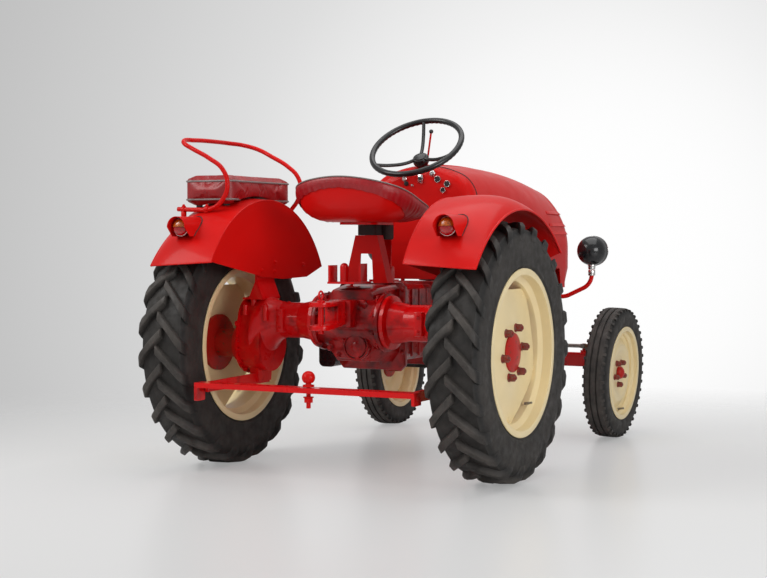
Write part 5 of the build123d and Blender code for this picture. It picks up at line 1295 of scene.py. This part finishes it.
LAMP_BACK = 0.018
LAMP_RISE = 0.010
HOOD_RADIUS = 0.0425
HOOD_FRONT_X = -0.935
HOOD_STEPS = 60


class TRACTOR_OT_tail_lamps(bpy.types.Operator):
    """Fits the tail lamps with two-colour lenses, bright rims and rubber edging"""
    bl_idname = "tractor.tail_lamps"
    bl_label = "Tail lamps"

    def execute(self, context):
        low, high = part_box("tail_lamps")
        centre_y = high.y - (high.z - low.z) / 2
        centre_z = (high.z + low.z) / 2 + LAMP_RISE
        base_x = low.x + 0.026 - LAMP_BACK
        for side, name in SIDES:
            place = facing((base_x, side * centre_y, centre_z), (-1, 0, 0))
            dome = tuple((0.002 + 0.0235 * cos(turn), 0.0342 * sin(turn)) for turn in sweep(10, 0.0, pi / 2))
            outline = dome + ((-0.004, 0.0342), (-0.004, 0.0))
            for key, keep in (("amber", 1), ("lens_red", -1)):
                lens = placed(lathe(outline, steps=64), place)
                trimmed(lens, Vector((0, 0, centre_z + keep * 0.0008)), (0, 0, -keep))
                piece = add_piece(f"tail_lens_{key}_{name}", lens, key, 50)
                if keep == 1 and side == LEFT:
                    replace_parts(piece, "tail_lamps")
            rim = ((-0.003, 0.0335), (-0.003, 0.0364), (0.0015, 0.0364), (0.003, 0.0355), (0.003, 0.0338))
            bezel = placed(lathe(rim, steps=64, rounding=0.0008), place)
            add_piece(f"tail_bezel_{name}", bezel, "chrome")
            cup = ((-0.003, 0.0), (-0.003, 0.0355), (-0.084, 0.0335), (-0.088, 0.029), (-0.088, 0.0))
            shell = placed(lathe(cup, steps=48), place)
            add_piece(f"tail_cup_{name}", shell, "lamp_black")
            hood, edging = self.hood(side, base_x - 0.036, centre_y, centre_z)
            hood_piece = add_piece(f"lamp_hood_{name}", hood, "enamel", 50)
            if side == LEFT:
                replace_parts(hood_piece, "tail_lamp_hoods")
            add_piece(f"hood_edging_{name}", edging, "buffer", 50)
        return {"FINISHED"}

    def hood(self, side, rear, centre_y, centre_z):
        """An arched sheet from the lamp's brow forward into the fender, and the edging of its brow."""
        arch = [(-HOOD_RADIUS, -0.037), (-HOOD_RADIUS, -0.018)]
        arch += [(-cos(turn) * HOOD_RADIUS, sin(turn) * HOOD_RADIUS) for turn in sweep(28, 0.0, pi)]
        arch += [(HOOD_RADIUS, -0.018), (HOOD_RADIUS, -0.037)]
        sheet = bmesh.new()
        bmesh.ops.create_grid(sheet, x_segments=len(arch) - 1, y_segments=HOOD_STEPS, size=0.5)
        ends = {}
        for vert in sheet.verts:
            number = round((vert.co.x + 0.5) * (len(arch) - 1))
            across, up = arch[number]
            start = rear + max(0.0, -up) * 0.95
            x = start + (HOOD_FRONT_X - start) * (vert.co.y + 0.5)
            y = side * centre_y + across
            skin = fender_top(x, y)
            vert.co = Vector((x, y, max(centre_z + up, skin - 0.0012)))
            if vert.co.z > skin + 0.0005 and x > ends.get(number, start):
                ends[number] = x
        hidden = [face for face in sheet.faces
                  if all(vert.co.z < fender_top(vert.co.x, vert.co.y) for vert in face.verts)]
        bmesh.ops.delete(sheet, geom=hidden, context="FACES")
        sheet_of(sheet, 0.0018)
        line = [Vector((x + 0.002, side * centre_y + arch[number][0], centre_z + arch[number][1] + 0.001))
                for number, x in sorted(ends.items())]
        return sheet, tube_mesh("edging", line, 0.0022, steps=3, resolution=4)


HEAD_RADIUS = 0.068


class TRACTOR_OT_head_lamps(bpy.types.Operator):
    """Spins the black head lamps with bright rims, ribbed glass and plated necks"""
    bl_idname = "tractor.head_lamps"
    bl_label = "Head lamps"

    def execute(self, context):
        low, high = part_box("head_lamps")
        radius = HEAD_RADIUS
        centre = Vector((low.x + radius, high.y - radius, high.z - radius))
        for side, name in SIDES:
            place = facing((centre.x, side * centre.y, centre.z), (1, 0, 0))
            ball = tuple((-cos(turn) * radius, sin(turn) * radius) for turn in sweep(14, 0.0, pi / 2))
            shell = ball + ((0.026, radius), (0.030, radius + 0.0015), (0.033, radius),
                            (0.033, radius - 0.005), (0.026, radius - 0.005), (0.026, 0.0))
            bowl = placed(lathe(shell, steps=96), place)
            bowl_piece = add_piece(f"head_bowl_{name}", bowl, "lamp_black", 40)
            ring = ((0.028, radius - 0.008), (0.028, radius + 0.0025), (0.034, radius + 0.0015),
                    (0.0375, radius - 0.003), (0.036, radius - 0.008))
            bright = placed(lathe(ring, steps=96, rounding=0.0012), place)
            add_piece(f"head_rim_{name}", bright, "chrome", 40)
            arch = tuple((0.0335 + 0.009 * cos(turn), (radius - 0.006) * sin(turn))
                         for turn in sweep(8, 0.0, pi / 2))
            lens = placed(lathe(arch + ((0.030, radius - 0.006), (0.030, 0.0)), steps=72), place)
            lens_piece = add_piece(f"head_glass_{name}", lens, "glass", 50)
            for number in range(-5, 6):
                aside = number * 0.0105
                reach = sqrt(max(0.0, (radius - 0.009) ** 2 - aside ** 2))
                y = side * centre.y + aside
                rise = 0.0335 + 0.009 * sqrt(max(0.0, 1 - (aside / (radius - 0.006)) ** 2))
                rib = block(bmesh.new(), (centre.x + 0.031, y - 0.0012, centre.z - reach),
                            (centre.x + min(rise, 0.0385), y + 0.0012, centre.z + reach), 0.0008, 1)
                add_piece(f"head_rib_{name}_{number + 5}", rib, "glass")
            neck = bmesh.new()
            base = Vector((centre.x, side * centre.y, centre.z - radius))
            drum(neck, base - UP * 0.019, UP, 0.0155, 0.024, steps=28, top=0.019, rounding=0.002)
            drum(neck, base - UP * 0.047, UP, 0.0165, 0.026, steps=28, rounding=0.003)
            add_piece(f"head_neck_{name}", neck, "chrome")
            if side == LEFT:
                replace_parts(bowl_piece, "head_lamps")
                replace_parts(lens_piece, "head_lamp_lenses")
        return {"FINISHED"}


LOUVRES = (0.970, 1.010, 1.070)
LOUVRE_OUT = 0.005


class TRACTOR_OT_bonnet_trim(bpy.types.Operator):
    """Adds the bonnet's ridge strip, louvre lips and a black line at its rear edge, painted shade in the gap
    to the cowl
    """
    bl_idname = "tractor.bonnet_trim"
    bl_label = "Bonnet trim"

    def execute(self, context):
        bonnet = frame["nodes"]["bonnet"]
        tree = BVHTree.FromObject(bonnet, context.evaluated_depsgraph_get())
        rear_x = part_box("bonnet")[0].x
        ridge = []
        for number in range(26):
            x = rear_x + 0.012 + number * (0.950 - rear_x) / 25
            hit = tree.ray_cast(Vector((x, 0, 2.0)), -UP)[0]
            ridge.append(hit + UP * 0.0005)
        strip = tube_mesh("ridge", ridge, 0.0055, steps=3, resolution=4)
        lips = bmesh.new()
        for height in LOUVRES:
            for side in (LEFT, RIGHT):
                rings = []
                for number in range(40):
                    x = 0.795 + number * 0.42 / 39
                    edges = [tree.ray_cast(Vector((x, side * 0.6, height + step)), Vector((0, -side, 0)))
                             for step in (0.0085, -0.0085)]
                    if edges[0][0] is None or edges[1][0] is None:
                        continue
                    away = Vector((edges[1][1].x, edges[1][1].y, 0)).normalized()
                    share = min(1.0, number / 3, (39 - number) / 3)
                    top = edges[0][0] + away * 0.0004
                    foot = edges[1][0] + away * (0.0006 + LOUVRE_OUT * share)
                    foot.z += 0.002
                    rings.append([top, foot, foot - away * 0.0022 - UP * 0.0008,
                                  top - away * 0.0022 - UP * 0.0008])
                if len(rings) > 3:
                    loft(lips, rings)
        # A black rubber tube just behind the bonnet's rear edge: painted shade in the gap between bonnet and
        # cowl
        seam = []
        for turn in sweep(60, radians(-12), radians(204)):
            away = Vector((0, cos(turn), sin(turn)))
            hit = tree.ray_cast(Vector((rear_x + 0.004, 0, 0.95)) + away * 0.6, -away)[0]
            if hit is not None:
                seam.append(Vector((rear_x - 0.0025, hit.y, hit.z)))
        add_piece("bonnet_gap_painted_shade", tube_mesh("seam", seam, 0.0030, steps=2, resolution=4), "buffer")
        add_piece("bonnet_ridge", strip, "enamel", body="bonnet_body")
        add_piece("louvre_lips", lips, "enamel", body="bonnet_body")
        return {"FINISHED"}


def ring_of_bolts(bm, centre, direction, radius, count, start=0.0, size=None):
    """Bolts round a flange."""
    place = facing(centre, direction)
    for turn in turns(count, start):
        bolt(bm, place @ Vector((cos(turn) * radius, sin(turn) * radius, 0)), direction, size)
    return bm


AXLE_X = -0.750
GEARBOX_REAR_X = -0.800
COVER_DEEP = 0.024
CAP_PLACE = (-0.040, 0.514)
CAP_RADIUS = 0.050
TRUMPET_Z = 0.607
COVER_BOLTS = ((-0.078, 0.672), (0.078, 0.672), (-0.080, 0.585), (0.080, 0.585), (-0.080, 0.505),
               (0.080, 0.505), (0.046, 0.476), (-0.046, 0.4685), (0.018, 0.530))
JAW_PIN_X = -1.047
JAW_HALF = 0.046
BALL_X = -1.180
BALL_Y = -0.020


def casting_ring(x, half, low, high, corner, belly):
    """A cross-section of the gearbox at x with its corners cut, the lower ones more."""
    points = ((half, low + corner + belly), (half, high - corner), (half - corner, high),
              (corner - half, high), (-half, high - corner), (-half, low + corner + belly),
              (corner + belly * 0.6 - half, low), (half - corner - belly * 0.6, low))
    return [Vector((x, y, z)) for y, z in points]


class TRACTOR_OT_castings(bpy.types.Operator):
    """Casts the gearbox with its cover and adds the horns, ribs and bolts of the rear axle"""
    bl_idname = "tractor.castings"
    bl_label = "Castings"

    def execute(self, context):
        low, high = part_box("gearbox")
        self.gearbox(low, high)
        self.hitch()
        self.axle()
        return {"FINISHED"}

    def gearbox(self, low, high):
        bm = bmesh.new()
        stations = ((GEARBOX_REAR_X, 0.102, 0.452, 0.738, 0.022, 0.030),
                    (-0.700, 0.116, 0.444, 0.750, 0.020, 0.028),
                    (-0.622, 0.128, 0.440, 0.756, 0.018, 0.022), (-0.618, 0.150, low.z, high.z, 0.014, 0.006),
                    (-0.590, 0.150, low.z, high.z, 0.014, 0.006), (-0.586, 0.132, 0.440, 0.752, 0.018, 0.014),
                    (-0.310, 0.136, 0.440, 0.748, 0.018, 0.010), (-0.306, 0.150, low.z, high.z, 0.014, 0.004),
                    (high.x, 0.150, low.z, high.z, 0.014, 0.004))
        body = loft(bmesh.new(), [casting_ring(*station) for station in stations])
        outward(body)
        rounded(body, body.edges[:], 0.0035)
        join(bm, body)
        drum(bm, (AXLE_X, -0.1502, TRUMPET_Z), (0, 1, 0), 0.104, 0.3004, steps=72, rounding=0.004)
        drum(bm, (AXLE_X, -0.1502, TRUMPET_Z), (0, 1, 0), 0.116, 0.020, steps=72, rounding=0.003)
        drum(bm, (AXLE_X, 0.1302, TRUMPET_Z), (0, 1, 0), 0.116, 0.020, steps=72, rounding=0.003)
        face = GEARBOX_REAR_X - COVER_DEEP
        cover = loft(bmesh.new(), [casting_ring(GEARBOX_REAR_X, 0.092, 0.462, 0.700, 0.020, 0.024),
                                   casting_ring(face, 0.090, 0.464, 0.698, 0.020, 0.024)])
        rounded(cover, cover.edges[:], 0.003)
        join(bm, cover)
        block(bm, (-0.9000, -0.052, 0.590), (face + 0.002, 0.052, 0.700), 0.008)
        for y, z in COVER_BOLTS:
            bolt(bm, (face, y, z), (-1, 0, 0), 0.019)
        ring = ((0.0, 0.0), (0.0, CAP_RADIUS + 0.006), (0.010, CAP_RADIUS + 0.006),
                (0.013, CAP_RADIUS + 0.003), (0.013, CAP_RADIUS), (0.006, CAP_RADIUS),
                (0.006, CAP_RADIUS - 0.005),
                (0.015, CAP_RADIUS - 0.005), (0.017, CAP_RADIUS - 0.008), (0.013, 0.020), (0.018, 0.012),
                (0.018, 0.0))
        place = facing((face + 0.001, *CAP_PLACE), (-1, 0, 0))
        join(bm, placed(lathe(ring, steps=64), place))
        for side in (LEFT, RIGHT):
            ring_of_bolts(bm, (AXLE_X, side * 0.1292, TRUMPET_Z), (0, -side, 0), 0.110, 10, 0.3, 0.015)
            for x in (-0.604, -0.290):
                for z in (0.48, 0.545, 0.61, 0.675, 0.735):
                    bolt(bm, (x - 0.014, side * 0.141, z), (-1, 0, 0), 0.015)
            block(bm, (-0.800, side * 0.118 - 0.006, 0.60), (-0.62, side * 0.118 + 0.006, 0.716), 0.003)
            for x in (-0.52, -0.45, -0.38):
                block(bm, (x, side * 0.133 - 0.005, 0.455), (x + 0.012, side * 0.133 + 0.005, 0.735), 0.003)
        # The darker casting paint here is painted shade on the gearbox
        gearbox = add_piece("gearbox_cast", bm, "casting_painted_shade")
        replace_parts(gearbox, "gearbox")
        # A thin black ring on the floor of the cap's groove: painted shade in the groove
        groove = placed(lathe(((0.0061, CAP_RADIUS - 0.0046), (0.0061, CAP_RADIUS - 0.0004),
                                           (0.0066, CAP_RADIUS - 0.0004), (0.0066, CAP_RADIUS - 0.0046)),
                              steps=64), place)
        add_piece("cap_groove_painted_shade", groove, "buffer")

    def hitch(self):
        """The drawbar's jaw and its towing ball."""
        outline = [(JAW_PIN_X + cos(turn) * JAW_HALF, sin(turn) * JAW_HALF)
                   for turn in sweep(24, radians(100), radians(160))]
        outline += [(-0.965, -0.031), (-0.9005, -0.029), (-0.9005, 0.029), (-0.965, 0.031)]
        jaw = bmesh.new()
        for low, high, rise in ((0.588, 0.606, 0.016), (0.679, 0.697, 0.0)):
            lifts = [rise * max(0.0, min(1.0, (x + 1.0) / 0.08)) for x, y in outline]
            plate = loft(bmesh.new(), [[Vector((x, y, z + lift)) for (x, y), lift in zip(outline, lifts)]
                                       for z in (low, high)])
            outward(plate)
            sharp = [edge for edge in plate.edges if edge.calc_face_angle(0) > 1.2]
            rounded(plate, sharp, 0.0022)
            join(jaw, plate)
        block(jaw, (-0.962, -0.030, 0.603), (-0.899, 0.030, 0.6915), 0.004)
        for y in (-0.015, 0.015):
            bolt(jaw, (-0.962, y, 0.668), (-1, 0, 0), 0.013)
        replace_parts(add_piece("hitch_jaw", jaw, "casting"), "hitch_clevis")
        stem = ((0.300, 0.0), (0.300, 0.0085), (0.381, 0.0085), (0.3815, 0.022), (0.389, 0.022),
                (0.391, 0.0115), (0.396, 0.0105), (0.400, 0.0135))
        dome = tuple((0.4165 - cos(turn) * 0.0255, sin(turn) * 0.0255)
                     for turn in sweep(16, radians(40), radians(140)))
        ball = placed(lathe(stem + dome, steps=48), Matrix.Translation((BALL_X, BALL_Y, 0)))
        drum(ball, (BALL_X, BALL_Y, 0.322), UP, 0.0185, 0.018, steps=6, rounding=0.0015)
        drum(ball, (BALL_X, BALL_Y, 0.340), UP, 0.020, 0.004, steps=32, rounding=0.001)
        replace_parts(add_piece("towing_ball", ball, "enamel", 50), "ball_hitch")

    def axle(self):
        for side, name in SIDES:
            bm = bmesh.new()
            rings = []
            for y, long, tall, z in ((0.330, 0.0745, 0.0745, TRUMPET_Z), (0.350, 0.079, 0.080, 0.605),
                                     (0.370, 0.087, 0.090, 0.600), (0.388, 0.097, 0.104, 0.592),
                                     (0.404, 0.107, 0.119, 0.582), (0.418, 0.113, 0.131, 0.570),
                                     (0.430, 0.117, 0.141, 0.558), (0.440, 0.118, 0.146, 0.550)):
                rings.append([Vector((AXLE_X + cos(turn) * long, y, z + sin(turn) * tall))
                              for turn in turns(48)])
            loft(bm, rings)
            block(bm, (-0.836, 0.296, 0.560), (-0.770, 0.330, 0.656), 0.004)
            for z in (0.578, 0.638):
                bolt(bm, (-0.836, 0.313, z), (-1, 0, 0), 0.014)
            for x, y in ((-0.800, 0.455), (-0.700, 0.455), (-0.845, 0.372), (-0.655, 0.372)):
                high = 0.700 if y > 0.4 else 0.668
                drum(bm, (x, y, high - 0.062), UP, 0.0125, 0.062, steps=20, rounding=0.002)
                bolt(bm, (x, y, high), UP, 0.016)
            drum(bm, (-0.842, 0.470, 0.628), UP, 0.010, 0.042, steps=18, rounding=0.002)
            centre = Vector((AXLE_X, 0.497, 0.505))
            for turn in sweep(13, radians(-170), radians(340)):
                reach = 0.118 if sin(turn) < 0.35 else 0.150
                spot = centre + Vector((cos(turn) * reach, -0.0005, sin(turn) * reach))
                bolt(bm, spot, (0, -1, 0), 0.015)
            sided(side, bm)
            add_piece(f"axle_horn_{name}", bm, "casting", 40)


def soft_light(name, place, target, size, power, tint):
    """A large soft lamp that looks at a point."""
    lamp = bpy.data.lights.new(name, "AREA")
    lamp.shape = "RECTANGLE"
    lamp.size, lamp.size_y = size
    lamp.energy = power
    lamp.color = tint
    holder = bpy.data.objects.new(name, lamp)
    bpy.context.scene.collection.objects.link(holder)
    holder.location = place
    holder.rotation_euler = (Vector(target) - Vector(place)).to_track_quat("-Z", "Y").to_euler()
    return holder


# The camera, solved from the wheels and the ground in the 767 by 578 photograph
CAMERA_PLACE = (-6.178, -2.858, 0.942)
CAMERA_YAW = 26.757
CAMERA_PITCH = -1.894
CAMERA_LENS = 71.36
# Where the floor is at its palest, how far it stays so, the share of its radius where it is gone, how much
# of its shade is lifted to the eye, and the strength of the light from all round
POOL_CENTRE = (-1.2, -0.6)
POOL_RADIUS = 1.9
FADE_SHARE = 0.64
FLOOR_LIFT = 0.4
WORLD_LIGHT = 0.25
# The backdrop's glow: direction, and its grey at angles away from it in degrees
GLOW_YAW = 18.7
GLOW_PITCH = -0.4
GLOW = ((0.0, 1.0), (5.0, 1.0), (9.0, 0.9), (14.0, 0.72), (21.0, 0.57), (27.0, 0.49), (60.0, 0.46))


class TRACTOR_OT_stage(bpy.types.Operator):
    """Sets the pale floor, the glowing backdrop, the soft lights and the camera"""
    bl_idname = "tractor.stage"
    bl_label = "Studio"

    def execute(self, context):
        scene = context.scene
        studio = scene.tractor_studio
        scene.view_settings.view_transform = "Standard"
        self.floor(studio.floor_radius)
        self.backdrop(scene)
        for name, place, target, size, power, tint in (
                ("key_light", (-4.2, 3.6, 4.2), (-0.4, 0, 0.7), (3.2, 3.2), studio.key_power,
                 (1, 0.99, 0.97)),
                ("top_light", (0.2, -0.4, 4.6), (0, 0, 0.5), (5, 4), studio.top_power, (1, 1, 1)),
                ("fill_light", (-3, -5, 1.8), (0, 0, 0.7), (3, 2.2), studio.fill_power, (1, 1, 1))):
            soft_light(name, place, target, size, power, tint)
        camera = bpy.data.cameras.new("camera")
        camera.lens = CAMERA_LENS
        camera.sensor_width = 36.0
        camera.clip_end = 100.0
        holder = bpy.data.objects.new("camera", camera)
        scene.collection.objects.link(holder)
        holder.location = CAMERA_PLACE
        holder.rotation_euler = (radians(90 + CAMERA_PITCH), 0, radians(CAMERA_YAW - 90))
        scene.camera = holder
        return {"FINISHED"}

    def floor(self, radius):
        bm = bmesh.new()
        bmesh.ops.create_circle(bm, cap_ends=True, segments=128, radius=radius)
        mesh = as_mesh("studio_floor", bm)
        paper = Finish("studio_floor", 0.3, Specular_IOR_Level=0.5)
        paper.shader.inputs["Base Color"].default_value = (0.80, 0.80, 0.80, 1)
        fade = paper.ramp(paper.reach((*POOL_CENTRE, 0)), POOL_RADIUS, radius * FADE_SHARE)
        glow = paper.node("ShaderNodeEmission", {"Color": (0.72, 0.72, 0.72, 1)})
        seen = paper.node("ShaderNodeLightPath").outputs["Is Camera Ray"]
        lift = paper.node("ShaderNodeMath", {0: seen, 1: FLOOR_LIFT}, operation="MULTIPLY")
        lifted = paper.node("ShaderNodeMixShader", {"Fac": lift.outputs[0], 1: paper.shader.outputs["BSDF"],
                                                    2: glow.outputs["Emission"]})
        clear = paper.node("ShaderNodeBsdfTransparent")
        blend = paper.node("ShaderNodeMixShader", {"Fac": fade, 1: lifted.outputs["Shader"],
                                                   2: clear.outputs["BSDF"]})
        feed(paper.tree, paper.tree.nodes["Material Output"].inputs["Surface"], blend.outputs["Shader"])
        mesh.materials.append(paper.material)
        floor = bpy.data.objects.new("studio_floor", mesh)
        bpy.context.scene.collection.objects.link(floor)

    def backdrop(self, scene):
        """A grey glow that falls off from one direction, and plain white for the light it gives."""
        world = bpy.data.worlds.new("studio_world")
        scene.world = world
        world.use_nodes = True
        tree = world.node_tree
        tree.nodes.clear()
        yaw, pitch = radians(GLOW_YAW), radians(GLOW_PITCH)
        middle = (cos(yaw) * cos(pitch), sin(yaw) * cos(pitch), sin(pitch))
        place = shader_node(tree, "ShaderNodeTexCoord").outputs["Generated"]
        dot = shader_node(tree, "ShaderNodeVectorMath", {0: place, 1: middle}, operation="DOT_PRODUCT")
        angle = shader_node(tree, "ShaderNodeMath", {0: dot.outputs["Value"]}, operation="ARCCOSINE")
        share = shader_node(tree, "ShaderNodeMath", {0: angle.outputs[0], 1: radians(GLOW[-1][0])},
                            operation="DIVIDE")
        ramp = shader_node(tree, "ShaderNodeValToRGB", {"Fac": share.outputs[0]})
        while len(ramp.color_ramp.elements) < len(GLOW):
            ramp.color_ramp.elements.new(0.5)
        for stop, (turn, grey) in zip(ramp.color_ramp.elements, GLOW):
            stop.position = turn / GLOW[-1][0]
            stop.color = (grey, grey, grey, 1)
        ramp.color_ramp.interpolation = "B_SPLINE"
        light = shader_node(tree, "ShaderNodeBackground", {"Color": (1, 1, 1, 1), "Strength": WORLD_LIGHT})
        seen = shader_node(tree, "ShaderNodeBackground", {"Color": ramp.outputs["Color"]})
        path = shader_node(tree, "ShaderNodeLightPath").outputs
        shows = path["Is Camera Ray"]
        for kind in ("Is Glossy Ray", "Is Transmission Ray"):
            either = shader_node(tree, "ShaderNodeMath", {0: shows, 1: path[kind]}, operation="MAXIMUM")
            shows = either.outputs[0]
        pick = shader_node(tree, "ShaderNodeMixShader", {"Fac": shows, 1: light.outputs["Background"],
                                                         2: seen.outputs["Background"]})
        shader_node(tree, "ShaderNodeOutputWorld", {"Surface": pick.outputs["Shader"]})


class TRACTOR_PT_panel(bpy.types.Panel):
    """Every step of the finish, in order"""
    bl_idname = "TRACTOR_PT_panel"
    bl_label = "Farm tractor"
    bl_space_type = "VIEW_3D"
    bl_region_type = "UI"
    bl_category = "Tractor"

    def draw(self, context):
        for operator in OPERATORS:
            self.layout.operator(operator.bl_idname)
        for group in GROUPS:
            settings = getattr(context.scene, group)
            for name in settings.__annotations__:
                self.layout.prop(settings, name)


OPERATORS = (TRACTOR_OT_paint, TRACTOR_OT_rear_tyres, TRACTOR_OT_front_tyres, TRACTOR_OT_rear_rims,
             TRACTOR_OT_front_rims, TRACTOR_OT_seat, TRACTOR_OT_fenders, TRACTOR_OT_hand_rail,
             TRACTOR_OT_cushion, TRACTOR_OT_steering_wheel, TRACTOR_OT_dash, TRACTOR_OT_tail_lamps,
             TRACTOR_OT_head_lamps, TRACTOR_OT_bonnet_trim, TRACTOR_OT_castings, TRACTOR_OT_stage)
GROUPS = {"tractor_colours": TractorColours, "tractor_tyres": TractorTyres, "tractor_trim": TractorTrim,
          "tractor_studio": TractorStudio}


def register():
    for group, kind in GROUPS.items():
        bpy.utils.register_class(kind)
        setattr(bpy.types.Scene, group, PointerProperty(type=kind))
    for kind in (*OPERATORS, TRACTOR_PT_panel):
        bpy.utils.register_class(kind)


def unregister():
    for kind in (TRACTOR_PT_panel, *reversed(OPERATORS)):
        bpy.utils.unregister_class(kind)
    for group, kind in GROUPS.items():
        delattr(bpy.types.Scene, group)
        bpy.utils.unregister_class(kind)


def main():
    register()
    for operator in OPERATORS:
        getattr(bpy.ops.tractor, operator.bl_idname.split(".")[1])()


if __name__ == "__main__":
    main()
